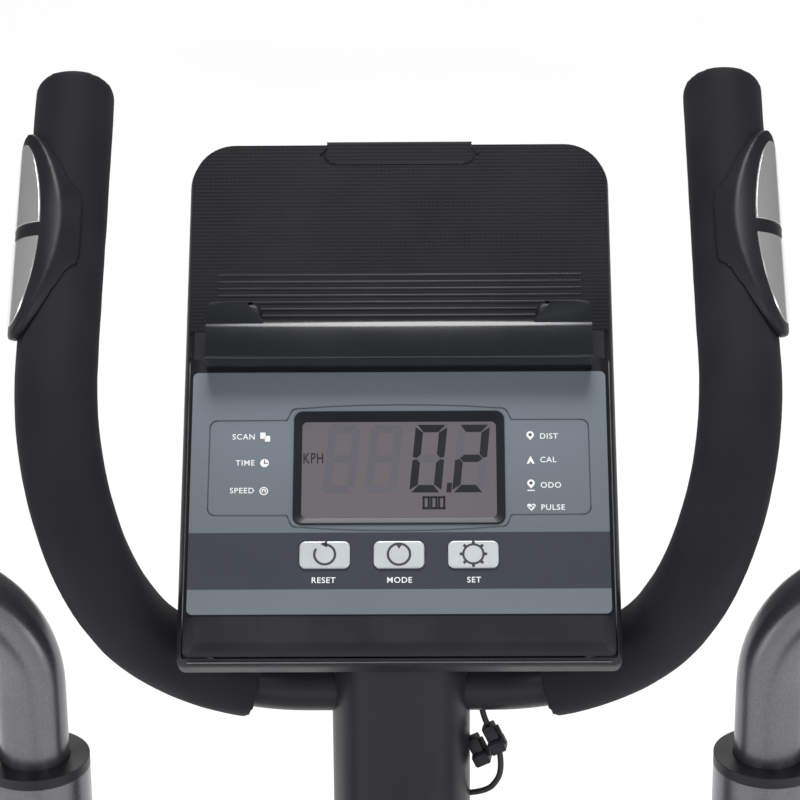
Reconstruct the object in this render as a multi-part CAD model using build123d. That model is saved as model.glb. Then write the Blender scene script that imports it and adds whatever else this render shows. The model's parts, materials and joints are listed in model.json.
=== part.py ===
from build123d import *
import os
from math import asin, cos, degrees, pi, radians, sin, tan

# Rear-drive elliptical trainer. Millimetres, +Z up, +X to the user's right, +Y forward:
# the user stands behind the mast and faces +Y. The origin is on the floor, at the
# middle of the overall length and width.

# ---- overall ----
HALF_LENGTH = 580.0
STABILIZER_WIDTH = 524.0
AXLE_Z = 355.0             # crank axle, and the lower pivots of the swing arms
PIVOT_Z = 900.0            # swing-arm axle in the mast
LIP_Z = 1200.0             # lower front edge of the console

# ---- base frame ----
STAB_R = 25.0
STAB_Z = 32.0
CAP_R = 32.0
CAP_LENGTH = 40.0
WHEEL_R = 22.0
WHEEL_WIDTH = 16.0
WHEEL_GAP = 3.0
BEAM_WIDTH = 40.0
BEAM_HEIGHT = 60.0
TUBE_WALL = 2.0

# ---- mast ----
MAST_R = 31.75
MAST_LEAN = 2.5            # degrees from vertical, top towards the user
PIVOT_Y = 480.0
FLANGE_THICK = 6.0
FLANGE_HALF = (42.0, 50.0)
FLANGE_BOLT = (30.0, 38.0)
CROSS_TUBE_R = 17.0
CROSS_TUBE_HALF = 138.0
ARM_AXLE_R = 8.0
KNOB_Z = 1010.0
KNOB_R = 24.0
KNOB_SHAFT_R = 4.0
KNOB_SHAFT_IN = 8.0        # reach of the knob's shaft into the mast

# ---- tension cable ----
CABLE_R = 2.5
CABLE_BEND = 38.0
CABLE_WALL_GAP = 4.5       # from the mast's inner wall
CABLE_HOLE_R = 8.0

# ---- drive ----
CRANK_RADIUS = 125.0
CRANK_ARM_IN = 76.0
CRANK_ARM_THICK = 16.0
CRANK_AXLE_R = 10.0
PIN_R = 8.0
FLYWHEEL_R = 112.0
FLYWHEEL_THICK = 24.0
FLYWHEEL_BACK = 190.0      # flywheel axle behind the crank axle
FLYWHEEL_DROP = 100.0      # and below it
PULLEY_R = 105.0
SMALL_PULLEY_R = 16.0
BELT_THICK = 3.0
BELT_WIDTH = 8.0
BELT_X = 46.0              # middle of the belt
BEARING_R = 18.0
FLY_BEARING_R = 13.0
FLY_AXLE_R = 6.0
MAGNET_GAP = 4.0
MAGNET_THICK = 4.0
MAGNET_PIN_R = 4.0
MAGNET_SPAN = (-30.0, 38.0)  # degrees round the flywheel, from level towards the crank
PLATE_X = 34.0             # inner face of each bracket plate
PLATE_THICK = 4.0
HOUSING_HALF = 58.0
HOUSING_WALL = 2.5
HOUSING_EDGE = 9.0         # rounding of the outer edge
HOUSING_FRONT_R = 150.0
HOUSING_REAR_GAP = 15.5    # round the flywheel

# ---- foot bars and pedals ----
BAR_LENGTH = 800.0         # pin to pin
BAR_IN = 98.0
BAR_OUT = 138.0
BAR_WIDTH = 32.0
BAR_HEIGHT = 56.0
BUSH_R = 13.0
PEDAL_START = 160.0
PEDAL_LENGTH = 330.0
PEDAL_IN = 94.0
PEDAL_WIDTH = 146.0
PEDAL_RIM = 14.0

# ---- swing arms ----
ARM_X = 168.0
ARM_LEAN = 6.5             # degrees from vertical, top towards the user
ARM_R = 25.0
ARM_WALL = 1.8
RIM_UP = 238.5             # collar rim above the pivot, along the arm
COLLAR_FLANGE = 5.0
COLLAR_DEPTH = 42.0
HUB_BORE = 12.0
UPPER_R = 15.9
HANDLE_X = 248.0
GRIP_R = 19.0

# ---- handlebar (offsets are from the middle of the console's lower front edge) ----
BAR_TUBE_R = 12.7
FOAM_R = 18.0
CROSS_DY = 65.5
CROSS_DZ = -34.2
CROSS_BEND_X = 102.0
ELBOW = (148.7, -17.3, 70.6)
GRIP_END = (148.5, 129.2, 228.2)
BEND_R = 84.0
FOAM_START = 68.0          # along the tube, from the mast
FOAM_CAP = 5.0
SENSOR_SPAN = (82.0, 187.0)  # along the grip, from the elbow
SENSOR_TURN = 60.0           # degrees from the user's side round to the outside
SENSOR_R = 22.3

# ---- pulse lead: a limp loop beside the mast (offsets are from the crossbar's middle) ----
LEAD_R = 1.4
LEAD_POINTS = [(36.6, 0.0, -13.2), (37.6, -1.0, -19.6), (41.0, -2.0, -27.0), (45.4, -2.5, -36.0),
               (46.2, -1.5, -46.0), (44.8, 0.5, -52.5), (39.6, 2.5, -59.3), (30.6, 2.5, -60.0)]

# ---- console (local frame: x across, y up the face, z out of the face) ----
CONSOLE_TILT = 36.6        # degrees from vertical
CONSOLE_W = 195.8
CONSOLE_H = 254.2
CONSOLE_CORNER = 21.0
BODY_H = 150.0             # height of the thick lower part
FRONT_DEPTH = 16.0
BACK_DEPTH = 14.0
WALL = 2.4
OVERLAY = (186.5, 21.4, 136.0)     # width, lower edge, upper edge
WINDOW = (94.4, 63.0, 116.8)
BUTTON_W = 22.4
BUTTON_H = 12.6
BUTTON_PITCH = 32.8
BUTTON_Y = 48.6
BUTTON_TRAVEL = 1.0
BUTTON_STEM = 6.0
LEDGE = (174.0, 137.4, 156.0, 14.0)  # width, lower edge, upper edge, reach
RACK_RECESS = 1.2
RACK_RIM = 1.8
TAB_RISE = 0.3              # over the rack plate
LEDGE_EDGE = 2.6            # rounding of the ledge's front edges
EAR = (25.0, 9.0)           # width of the ledge's ears, and their height over it
BACK_W = 178.0
BRACKET_THICK = 3.0
SCREW_R = 1.5
BRACKET_SCREW_R = 2.0
BATTERY_BAY = (44.0, 80.0, 40.0, 100.0)
CELL_R = 7.15
BOARD_DEPTH = 11.5

# ---- clearances ----
RUNNING = 0.05
FIT = 0.25
TRIM_GAP = 0.2
LINK_GAP = 0.6
CABLE_GAP = 0.6

# ---- derived places ----
SLOPE = degrees(asin(CRANK_RADIUS / BAR_LENGTH))
LOWER_PIVOT_Y = PIVOT_Y + (PIVOT_Z - AXLE_Z) * tan(radians(ARM_LEAN))
CRANK_Y = LOWER_PIVOT_Y - BAR_LENGTH * cos(radians(SLOPE))
FLY_Y = CRANK_Y - FLYWHEEL_BACK
FLY_Z = AXLE_Z - FLYWHEEL_DROP
WHEEL_Y = HALF_LENGTH - WHEEL_R
WHEEL_Z = WHEEL_R + 6
FRONT_Y = WHEEL_Y - WHEEL_R - WHEEL_GAP - STAB_R
REAR_Y = -(HALF_LENGTH - CAP_R)
BEAM_BOTTOM = STAB_Z + STAB_R
BEAM_TOP = BEAM_BOTTOM + BEAM_HEIGHT
SEAT_TOP = BEAM_TOP + FLANGE_THICK
MAGNET_R = FLYWHEEL_R + MAGNET_GAP + MAGNET_THICK
CABLE_OFFSET = MAST_R - TUBE_WALL - CABLE_WALL_GAP - CABLE_R
HOUSING_REAR_R = FLYWHEEL_R + HOUSING_REAR_GAP + HOUSING_WALL
LOWER_REACH = (PIVOT_Z - AXLE_Z) / cos(radians(ARM_LEAN))
MOUNT_FACE = -FRONT_DEPTH - BACK_DEPTH - BRACKET_THICK


def mast_y(z):
    """Y of the mast's axis at a height."""
    return PIVOT_Y - (z - PIVOT_Z) * tan(radians(MAST_LEAN))


def mast_axis_point(z):
    """Point of the mast's axis at a height."""
    return Vector(0, mast_y(z), z)


def round_flywheel(radius, angle):
    """(y, z) at a radius and an angle, in degrees, about the flywheel's axle."""
    return FLY_Y + radius * cos(radians(angle)), FLY_Z + radius * sin(radians(angle))


LIP_Y = mast_y(LIP_Z + CROSS_DZ) - CROSS_DY
LIP = Vector(0, LIP_Y, LIP_Z)
CROSS = LIP + Vector(0, CROSS_DY, CROSS_DZ)
TILT = radians(CONSOLE_TILT)
CONSOLE = Plane(origin=LIP, x_dir=(1, 0, 0), z_dir=(0, -cos(TILT), sin(TILT)))
ARM_UP = Vector(0, -sin(radians(ARM_LEAN)), cos(radians(ARM_LEAN)))
ARM_BACK = Vector(0, -cos(radians(ARM_LEAN)), -sin(radians(ARM_LEAN)))
CENTRE_MIN = (Align.CENTER, Align.CENTER, Align.MIN)
KNOB_OUT = Vector(0, -cos(radians(MAST_LEAN)), -sin(radians(MAST_LEAN)))
KNOB_SEAT = mast_axis_point(KNOB_Z) + KNOB_OUT * MAST_R
LEAD_ENTRY = CROSS + Vector(*LEAD_POINTS[-1])
MAGNET_PIN = round_flywheel(MAGNET_R + MAGNET_THICK / 2, MAGNET_SPAN[1])
CABLE_Z = BEAM_BOTTOM + BEAM_HEIGHT / 2
CABLE_TOP_Z = KNOB_SEAT.Z - KNOB_SHAFT_R - CABLE_GAP
CABLE_DOWN_Y = mast_y(BEAM_TOP) - CABLE_OFFSET
CABLE_UP_Y = round_flywheel(MAGNET_R + MAGNET_THICK / 2, MAGNET_SPAN[0])[0]
CABLE_END_Z = round_flywheel(MAGNET_R + MAGNET_THICK, MAGNET_SPAN[0])[1] - CABLE_GAP


# ---- helpers ----
def rod(start, end, radius, bore=0.0):
    """Round bar, or a tube with a bore, between two points."""
    start, end = Vector(start), Vector(end)
    plane = Plane(origin=start, z_dir=end - start)
    length = (end - start).length
    solid = Cylinder(radius, length, align=CENTRE_MIN)
    if bore:
        solid -= Cylinder(bore, length, align=CENTRE_MIN)
    return plane * solid


def rod_x(x0, x1, y, z, radius, bore=0.0):
    """Round bar or tube along X."""
    return rod((x0, y, z), (x1, y, z), radius, bore)


def box(x0, x1, y0, y1, z0, z1):
    """Block between two corners."""
    size = (x1 - x0, y1 - y0, z1 - z0)
    return Pos(x0, y0, z0) * Box(*size, align=(Align.MIN, Align.MIN, Align.MIN))


def swept(points, radii, radius, bore=0.0):
    """Round bar or tube along straight runs joined by arcs."""
    path = FilletPolyline(*points, radius=radii)
    section = Circle(radius)
    if bore:
        section -= Circle(bore)
    return sweep(Plane(origin=path @ 0, z_dir=path % 0) * section, path=path)


def side_profile(circles, points, x0, x1):
    """Hull of circles (y, z, r) and points (y, z), extruded from x0 to x1."""
    edges = [Pos(y, z) * Edge.make_circle(r) for y, z, r in circles]
    edges += [Edge.make_line(a, b) for a, b in zip(points, points[1:])]
    face = make_hull(edges)
    return Plane.YZ.offset(x0) * extrude(face, amount=x1 - x0)


def mirror_x(solid):
    """The same piece on the other side of the machine."""
    return mirror(solid, about=Plane.YZ)


def both_sides(solid):
    """A piece and its mirror image in one node."""
    return Compound(children=[*solid.solids(), *mirror_x(solid).solids()])


def group(*shapes):
    """Separate solids kept in one node."""
    return Compound(children=[s for shape in shapes for s in shape.solids()])


def rounded_plate(width, low, high, depth, z_top, corner):
    """Plate in the console's local frame, with rounded corners."""
    face = Pos(0, (low + high) / 2) * RectangleRounded(width, high - low, corner)
    return Pos(0, 0, z_top - depth) * extrude(face, amount=depth)


# ---- base frame ----
def make_base_beam():
    """Box-section beam with the mast's seat plate and the drive's cable holes."""
    half = BEAM_WIDTH / 2
    ends = (REAR_Y - 16, FRONT_Y + 26)
    beam = box(-half, half, *ends, BEAM_BOTTOM, BEAM_TOP)
    inner = half - TUBE_WALL
    beam -= box(-inner, inner, ends[0] + TUBE_WALL, ends[1] - TUBE_WALL,
                BEAM_BOTTOM + TUBE_WALL, BEAM_TOP - TUBE_WALL)
    seat_y = mast_y(SEAT_TOP)
    beam += box(-FLANGE_HALF[0], FLANGE_HALF[0], seat_y - FLANGE_HALF[1],
                seat_y + FLANGE_HALF[1], BEAM_TOP, SEAT_TOP)
    for x, y in flange_bolts():
        beam -= Pos(x, y, BEAM_TOP - 1) * Cylinder(4.2, FLANGE_THICK + 2, align=CENTRE_MIN)
    for y in (CABLE_DOWN_Y, CABLE_UP_Y):
        beam -= Pos(0, y, BEAM_TOP) * Cylinder(CABLE_HOLE_R, 4 * FLANGE_THICK)
    return beam


def flange_bolts():
    """Places of the four bolts through the mast's flange."""
    seat_y = mast_y(SEAT_TOP)
    dx, dy = FLANGE_BOLT
    return [(x, seat_y + y) for x in (-dx, dx) for y in (-dy, dy)]


def make_stabilizer(y):
    """Cross tube with a saddle under the beam."""
    half = STABILIZER_WIDTH / 2 - 6
    tube = rod_x(-half, half, y, STAB_Z, STAB_R)
    tube += box(-30, 30, y - 16, y + 16, STAB_Z, BEAM_BOTTOM)
    return tube - rod_x(-half, half, y, STAB_Z, STAB_R - TUBE_WALL)


def make_end_cap(y):
    """Plastic end cap with a flat foot, for the right side."""
    outer = STABILIZER_WIDTH / 2
    cap = rod_x(outer - CAP_LENGTH, outer, y, STAB_Z, CAP_R)
    cap += box(outer - CAP_LENGTH, outer, y - CAP_R + 6, y + CAP_R - 6, 0, 16)
    cap -= rod_x(outer - CAP_LENGTH, outer - 6, y, STAB_Z, STAB_R + TRIM_GAP)
    return cap


def make_front_cap():
    """End cap that also carries a transport wheel's axle."""
    outer = STABILIZER_WIDTH / 2 - CAP_LENGTH
    ear = side_profile([(FRONT_Y, STAB_Z, 28), (WHEEL_Y, WHEEL_Z, 9)], [], outer - 6, outer)
    ear -= rod_x(outer - 6, outer, FRONT_Y, STAB_Z, STAB_R + TRIM_GAP)
    inner = outer - 6 - WHEEL_WIDTH - 1
    stub = rod_x(inner - 3, outer - 3, WHEEL_Y, WHEEL_Z, 5)
    stub += rod_x(inner - 3, inner, WHEEL_Y, WHEEL_Z, 7)
    return make_end_cap(FRONT_Y) + ear + stub


def make_wheel():
    """Transport wheel of the right side, turning on the cap's stub."""
    outer = STABILIZER_WIDTH / 2 - CAP_LENGTH - 6.5
    inner = outer - WHEEL_WIDTH
    wheel = rod_x(inner, outer, WHEEL_Y, WHEEL_Z, WHEEL_R, 5 + RUNNING)
    rims = wheel.edges().filter_by(GeomType.CIRCLE).group_by(SortBy.RADIUS)[-1]
    wheel = fillet(rims, 3)
    for x in (inner, outer - 3):
        wheel -= rod_x(x, x + 3, WHEEL_Y, WHEEL_Z, WHEEL_R - 5, 9)
    return wheel


# ---- mast ----
def make_mast():
    """Mast tube with its flange, the arm axle's cross tube, and the handlebar's cross hole."""
    low, high = mast_axis_point(SEAT_TOP - 10), mast_axis_point(LIP_Z + 120)
    mast = rod(low, high, MAST_R)
    seat_y = mast_y(SEAT_TOP)
    mast += box(-FLANGE_HALF[0], FLANGE_HALF[0], seat_y - FLANGE_HALF[1],
                seat_y + FLANGE_HALF[1], SEAT_TOP, SEAT_TOP + FLANGE_THICK)
    mast -= rod(low, high, MAST_R - TUBE_WALL)
    mast += rod_x(-CROSS_TUBE_HALF, CROSS_TUBE_HALF, PIVOT_Y, PIVOT_Z, CROSS_TUBE_R)
    mast -= rod_x(-CROSS_TUBE_HALF, CROSS_TUBE_HALF, PIVOT_Y, PIVOT_Z, ARM_AXLE_R + RUNNING)
    mast -= box(-60, 60, seat_y - 80, seat_y + 80, SEAT_TOP - 40, SEAT_TOP)
    for x, y in flange_bolts():
        mast -= Pos(x, y, SEAT_TOP - 1) * Cylinder(4.2, FLANGE_THICK + 2, align=CENTRE_MIN)
    mast -= rod_x(-60, 60, CROSS.Y, CROSS.Z, BAR_TUBE_R + RUNNING)
    mast -= CONSOLE * box(-90, 90, -60, 260, MOUNT_FACE, 80)
    mast -= rod(LEAD_ENTRY - Vector(8, 0, 0), LEAD_ENTRY + Vector(8, 0, 0), LEAD_R + FIT)
    mast -= rod(KNOB_SEAT, KNOB_SEAT - KNOB_OUT * 12, KNOB_SHAFT_R + RUNNING)
    return mast


def make_mast_cover():
    """Plastic boot over the mast's flange."""
    y = mast_y(SEAT_TOP)
    top = SEAT_TOP + 74
    outer = loft([Pos(0, y, SEAT_TOP) * RectangleRounded(118, 128, 26),
                  Pos(0, mast_y(top), top) * Circle(MAST_R + 7)])
    inner = loft([Pos(0, y, SEAT_TOP) * RectangleRounded(112, 122, 23),
                  Pos(0, mast_y(top - 3), top - 3) * Circle(MAST_R + 4)])
    low, high = mast_axis_point(SEAT_TOP), mast_axis_point(top + 20)
    return outer - inner - rod(low, high, MAST_R + TRIM_GAP)


def make_mast_bolts():
    """Four bolts through the mast's flange, heads up."""
    bolts = []
    for x, y in flange_bolts():
        shank = Pos(x, y, BEAM_TOP - 8) * Cylinder(4, 2 * FLANGE_THICK + 8, align=CENTRE_MIN)
        head = Pos(x, y, SEAT_TOP + FLANGE_THICK)
        head *= extrude(RegularPolygon(7.5, 6), amount=5.5)
        nut = Pos(x, y, BEAM_TOP - 6) * extrude(RegularPolygon(7.5, 6), amount=6)
        bolts.append(shank + head + nut)
    return group(*bolts)


def make_arm_axle():
    """Axle of both swing arms, with a washer and cap screw at each end."""
    end = ARM_X + ARM_R + 3
    axle = rod_x(-end, end, PIVOT_Y, PIVOT_Z, ARM_AXLE_R)
    for side in (-1, 1):
        axle += rod_x(side * end, side * (end + 3), PIVOT_Y, PIVOT_Z, 15)
        axle += rod_x(side * (end + 3), side * (end + 8), PIVOT_Y, PIVOT_Z, 9)
    return axle


def make_tension_knob():
    """Fluted tension knob and its shaft into the mast."""
    face = KNOB_SEAT + KNOB_OUT * 1.5
    plane = Plane(origin=face, x_dir=(1, 0, 0), z_dir=KNOB_OUT)
    knob = Cylinder(KNOB_R, 9, align=CENTRE_MIN)
    grip = Pos(0, 0, 9) * Cylinder(KNOB_R - 5, 15, align=CENTRE_MIN)
    knob += fillet(grip.edges().group_by(Axis.Z)[-1], 2)
    for place in PolarLocations(KNOB_R - 3.5, 12):
        knob -= place * Pos(0, 0, 9) * Cylinder(3, 16, align=CENTRE_MIN)
    return plane * knob + rod(face, KNOB_SEAT - KNOB_OUT * KNOB_SHAFT_IN, KNOB_SHAFT_R)


# ---- tension cable, held inside the mast and the beam ----
def make_tension_cable():
    """Cable from the knob's shaft down the mast, along the beam and up to the magnets."""
    top = mast_axis_point(CABLE_TOP_Z) - Vector(0, CABLE_OFFSET, 0)
    foot = mast_axis_point(CABLE_Z) - Vector(0, CABLE_OFFSET, 0)
    points = [top, foot, Vector(0, CABLE_UP_Y, CABLE_Z), Vector(0, CABLE_UP_Y, CABLE_END_Z)]
    return swept(points, [CABLE_BEND, CABLE_BEND], CABLE_R)


# ---- drive ----
def make_drive_bracket():
    """Two side plates on a base plate, with the crank's bearing shell between them."""
    base_y = (FLY_Y - 62, CRANK_Y + 52)
    shape = None
    for x in (-PLATE_X - PLATE_THICK, PLATE_X):
        plate = side_profile([(CRANK_Y, AXLE_Z, 34), (FLY_Y, FLY_Z, 24)],
                             [(base_y[0], BEAM_TOP), (base_y[1], BEAM_TOP)],
                             x, x + PLATE_THICK)
        shape = plate if shape is None else shape + plate
    edge = PLATE_X + PLATE_THICK
    shape += box(-edge, edge, *base_y, BEAM_TOP, BEAM_TOP + 4)
    shape += rod_x(-edge, edge, CRANK_Y, AXLE_Z, 24)
    shape -= rod_x(-edge, edge, CRANK_Y, AXLE_Z, BEARING_R)
    shape -= rod_x(-edge, edge, FLY_Y, FLY_Z, FLY_BEARING_R)
    shape -= rod_x(-edge, edge, *MAGNET_PIN, MAGNET_PIN_R + RUNNING)
    shape -= Pos(0, CABLE_UP_Y, BEAM_TOP) * Cylinder(CABLE_HOLE_R, 20)
    return shape


def make_bearings():
    """Four sealed bearings: two on the crank axle and two on the flywheel's axle."""
    edge = PLATE_X + PLATE_THICK
    sets = [(CRANK_Y, AXLE_Z, BEARING_R, CRANK_AXLE_R, 10),
            (FLY_Y, FLY_Z, FLY_BEARING_R, FLY_AXLE_R, PLATE_THICK)]
    rings = []
    for y, z, outer, inner, width in sets:
        for x0 in (-edge, edge - width):
            rings.append(rod_x(x0, x0 + width, y, z, outer - RUNNING, inner + RUNNING))
    return group(*rings)


def make_crank_axle():
    """Crank axle, square on the ends where the arms sit."""
    end = CRANK_ARM_IN + CRANK_ARM_THICK
    axle = rod_x(-end, end, CRANK_Y, AXLE_Z, CRANK_AXLE_R)
    collar = PLATE_X + PLATE_THICK
    for side in (-1, 1):
        axle += rod_x(side * (collar + 0.5), side * (collar + 1.8), CRANK_Y, AXLE_Z, 14)
    return axle


def make_drive_pulley():
    """Spoked belt pulley on the crank axle."""
    half = BELT_WIDTH / 2 + 2
    x0, x1 = BELT_X - half, BELT_X + half
    pulley = rod_x(x0, x1, CRANK_Y, AXLE_Z, PULLEY_R + 2)
    pulley -= rod_x(BELT_X - BELT_WIDTH / 2 - 0.5, BELT_X + BELT_WIDTH / 2 + 0.5,
                    CRANK_Y, AXLE_Z, PULLEY_R + 4, PULLEY_R)
    pulley -= rod_x(x0, x0 + 3.5, CRANK_Y, AXLE_Z, PULLEY_R - 10, 24)
    pulley -= rod_x(x1 - 3.5, x1, CRANK_Y, AXLE_Z, PULLEY_R - 10, 24)
    for turn in range(5):
        angle = radians(72 * turn)
        y, z = CRANK_Y + 60 * cos(angle), AXLE_Z + 60 * sin(angle)
        pulley -= rod_x(x0, x1, y, z, 22)
    return pulley - rod_x(x0, x1, CRANK_Y, AXLE_Z, CRANK_AXLE_R + RUNNING)


def make_crank_arm():
    """Right crank arm with its pin pointing down."""
    x0, x1 = CRANK_ARM_IN, CRANK_ARM_IN + CRANK_ARM_THICK
    pin_z = AXLE_Z - CRANK_RADIUS
    arm = side_profile([(CRANK_Y, AXLE_Z, 21), (CRANK_Y, pin_z, 16)], [], x0, x1)
    arm -= rod_x(x0, x1, CRANK_Y, AXLE_Z, CRANK_AXLE_R + RUNNING)
    arm += rod_x(x1, BAR_IN - 1, CRANK_Y, pin_z, 13)
    arm += rod_x(x1, BAR_OUT + 1, CRANK_Y, pin_z, PIN_R)
    return arm + rod_x(BAR_OUT + 1, BAR_OUT + 6, CRANK_Y, pin_z, 14)


def turn_over_axle(solid):
    """Mirror image of a crank piece, half a turn on."""
    flipped = mirror_x(solid)
    return Pos(0, CRANK_Y, AXLE_Z) * Rot(180, 0, 0) * Pos(0, -CRANK_Y, -AXLE_Z) * flipped


def make_crank_bolts():
    """Cap bolts that hold the crank arms on the axle."""
    x = CRANK_ARM_IN + CRANK_ARM_THICK
    return both_sides(rod_x(x, x + 4, CRANK_Y, AXLE_Z, 13))


def make_flywheel():
    """Steel flywheel with a dished web."""
    half = FLYWHEEL_THICK / 2
    wheel = rod_x(-half, half, FLY_Y, FLY_Z, FLYWHEEL_R, FLY_AXLE_R + RUNNING)
    for x0 in (-half, half - 8):
        wheel -= rod_x(x0, x0 + 8, FLY_Y, FLY_Z, FLYWHEEL_R - 18, 20)
    return wheel


def make_flywheel_axle():
    """Flywheel axle with the small belt pulley on its right end."""
    edge = PLATE_X + PLATE_THICK
    axle = rod_x(-edge - 4, BELT_X + 7, FLY_Y, FLY_Z, FLY_AXLE_R)
    half = BELT_WIDTH / 2 + 0.5
    axle += rod_x(edge + 0.5, BELT_X + half + 2, FLY_Y, FLY_Z, SMALL_PULLEY_R + 2)
    return axle - rod_x(BELT_X - half, BELT_X + half, FLY_Y, FLY_Z,
                        SMALL_PULLEY_R + 4, SMALL_PULLEY_R)


def make_drive_belt():
    """Flat belt round the two pulleys."""
    x0, x1 = BELT_X - BELT_WIDTH / 2, BELT_X + BELT_WIDTH / 2
    wheels = [(CRANK_Y, AXLE_Z, PULLEY_R), (FLY_Y, FLY_Z, SMALL_PULLEY_R)]
    outer = [(y, z, r + 0.3 + BELT_THICK) for y, z, r in wheels]
    inner = [(y, z, r + 0.3) for y, z, r in wheels]
    return side_profile(outer, [], x0, x1) - side_profile(inner, [], x0 - 1, x1 + 1)


def make_magnet_bracket():
    """Curved magnet holder beside the flywheel's rim, on its own pivot pin."""
    half = FLYWHEEL_THICK / 2 + 4
    ring = rod_x(-half, half, FLY_Y, FLY_Z, MAGNET_R + MAGNET_THICK, MAGNET_R)
    wedge = Plane.YZ.offset(-half) * extrude(
        make_face(Polyline((FLY_Y, FLY_Z), *magnet_rays(), close=True)), amount=2 * half)
    holder = ring & wedge
    holder += rod_x(-PLATE_X + 1, PLATE_X - 1, *MAGNET_PIN, 8)
    edge = PLATE_X + PLATE_THICK
    holder += rod_x(-edge, edge, *MAGNET_PIN, MAGNET_PIN_R)
    for angle in (-22, 0, 22):
        place = Pos(0, *round_flywheel(MAGNET_R - 1.5, angle))
        holder += place * Rot(angle, 0, 0) * Box(2 * half - 4, MAGNET_THICK, 22)
    return holder


def magnet_rays():
    """Outer corners of the sector that the magnet holder fills."""
    low, high = MAGNET_SPAN
    return [round_flywheel(2 * FLYWHEEL_R, angle) for angle in (low, 0, high)]


def make_housing_half():
    """Right housing shell: a wall and a rim, open towards the bracket, with two bosses."""
    bottom = BEAM_TOP + 5
    corners = (FLY_Y - 80, CRANK_Y + 110)
    circles = [(CRANK_Y, AXLE_Z, HOUSING_FRONT_R), (FLY_Y, FLY_Z, HOUSING_REAR_R)]
    feet = [(corners[0], bottom), (corners[1], bottom)]
    shell = side_profile(circles, feet, 0, HOUSING_HALF)
    shell = fillet(shell.faces().sort_by(Axis.X)[-1].edges(), HOUSING_EDGE)
    inner_circles = [(y, z, r - HOUSING_WALL) for y, z, r in circles]
    inner_feet = [(y, z + HOUSING_WALL) for y, z in feet]
    cavity = side_profile(inner_circles, inner_feet, -1, HOUSING_HALF - HOUSING_WALL)
    shell -= fillet(cavity.faces().sort_by(Axis.X)[-1].edges(), HOUSING_EDGE - HOUSING_WALL)
    edge = PLATE_X + PLATE_THICK
    shell -= box(-1, edge + 2, FLY_Y - 70, CRANK_Y + 60, bottom - 1, bottom + 12)
    for y in (FLY_Y - 48, CRANK_Y + 38):
        shell += rod_x(edge, HOUSING_HALF - 1, y, bottom + 16, 6)
    shell -= rod_x(HOUSING_HALF - 20, HOUSING_HALF + 1, CRANK_Y, AXLE_Z, 17)
    return shell


# ---- foot bars ----
def foot_frame(side):
    """Frame of a foot bar: origin on its crank pin, +Y along the bar. side is 1 right, -1 left."""
    pin_z = AXLE_Z - side * CRANK_RADIUS
    return Pos(0, CRANK_Y, pin_z) * Rot(side * SLOPE, 0, 0)


def on_bar(solid, side):
    """Place a right-hand piece of the foot bar's frame on either side."""
    return foot_frame(side) * (solid if side == 1 else mirror_x(solid))


def make_foot_bar():
    """Oval tube between a bearing sleeve at the crank and an eye at the front."""
    middle = (BAR_IN + BAR_OUT) / 2
    face = RectangleRounded(BAR_WIDTH, BAR_HEIGHT, 12)
    tube = Plane(origin=(middle, 20, 0), x_dir=(1, 0, 0), z_dir=(0, 1, 0)) * extrude(
        face, amount=BAR_LENGTH - 40)
    wall = RectangleRounded(BAR_WIDTH - 2 * TUBE_WALL, BAR_HEIGHT - 2 * TUBE_WALL, 10)
    hollow = Plane(origin=(middle, 30, 0), x_dir=(1, 0, 0), z_dir=(0, 1, 0)) * extrude(
        wall, amount=BAR_LENGTH - 60)
    bar = tube - hollow + rod_x(BAR_IN, BAR_OUT, 0, 0, 30) + rod_x(BAR_IN, BAR_OUT, BAR_LENGTH, 0, 28)
    bar -= rod_x(BAR_IN, BAR_OUT, 0, 0, BUSH_R)
    return bar - rod_x(BAR_IN, BAR_OUT, BAR_LENGTH, 0, BUSH_R)


def make_bar_bushes():
    """Flanged bushes of the crank pin's sleeve and the front eye."""
    bushes = []
    for y in (0, BAR_LENGTH):
        for x0 in (BAR_IN + 0.5, BAR_OUT - 16.5):
            bushes.append(rod_x(x0, x0 + 16, y, 0, BUSH_R - RUNNING, PIN_R + RUNNING))
    return group(*bushes)


def make_pedal():
    """Foot plate with a raised rim and grip ribs, on top of the bar."""
    x_mid = PEDAL_IN + PEDAL_WIDTH / 2
    y_mid = PEDAL_START + PEDAL_LENGTH / 2
    base = BAR_HEIGHT / 2
    outline = RectangleRounded(PEDAL_WIDTH, PEDAL_LENGTH, 40)
    tray = Pos(x_mid, y_mid, base) * extrude(outline, amount=8 + PEDAL_RIM)
    inner = RectangleRounded(PEDAL_WIDTH - 10, PEDAL_LENGTH - 10, 35)
    tray -= Pos(x_mid, y_mid, base + 8) * extrude(inner, amount=PEDAL_RIM + 1)
    ribs = [Pos(x_mid, y_mid + 32 * step, base + 8) * Box(PEDAL_WIDTH - 40, 8, 3, align=CENTRE_MIN)
            for step in range(-4, 5)]
    for rib in ribs:
        tray += rib
    return tray


# ---- swing arms ----
def arm_point(x, along, back=0.0):
    """Point of a right arm's frame: along the arm from the pivot, and towards the user."""
    return Vector(x, PIVOT_Y, PIVOT_Z) + ARM_UP * along + ARM_BACK * back


def make_arm_lower():
    """Lower tube of the right arm, with its pivot hub and the lower eye."""
    top, bottom = arm_point(ARM_X, RIM_UP - COLLAR_FLANGE), arm_point(ARM_X, -LOWER_REACH)
    arm = rod(bottom, top, ARM_R)
    arm -= rod(bottom, top, ARM_R - ARM_WALL)
    arm += rod_x(ARM_X - 27, ARM_X + 27, PIVOT_Y, PIVOT_Z, ARM_R + 3)
    eye_x = (ARM_X - ARM_R, ARM_X + ARM_R)
    arm += rod_x(*eye_x, LOWER_PIVOT_Y, AXLE_Z, ARM_R + 2)
    arm -= rod_x(ARM_X - 28, ARM_X + 28, PIVOT_Y, PIVOT_Z, HUB_BORE)
    return arm - rod_x(*eye_x, LOWER_PIVOT_Y, AXLE_Z, PIN_R + RUNNING)


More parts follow.
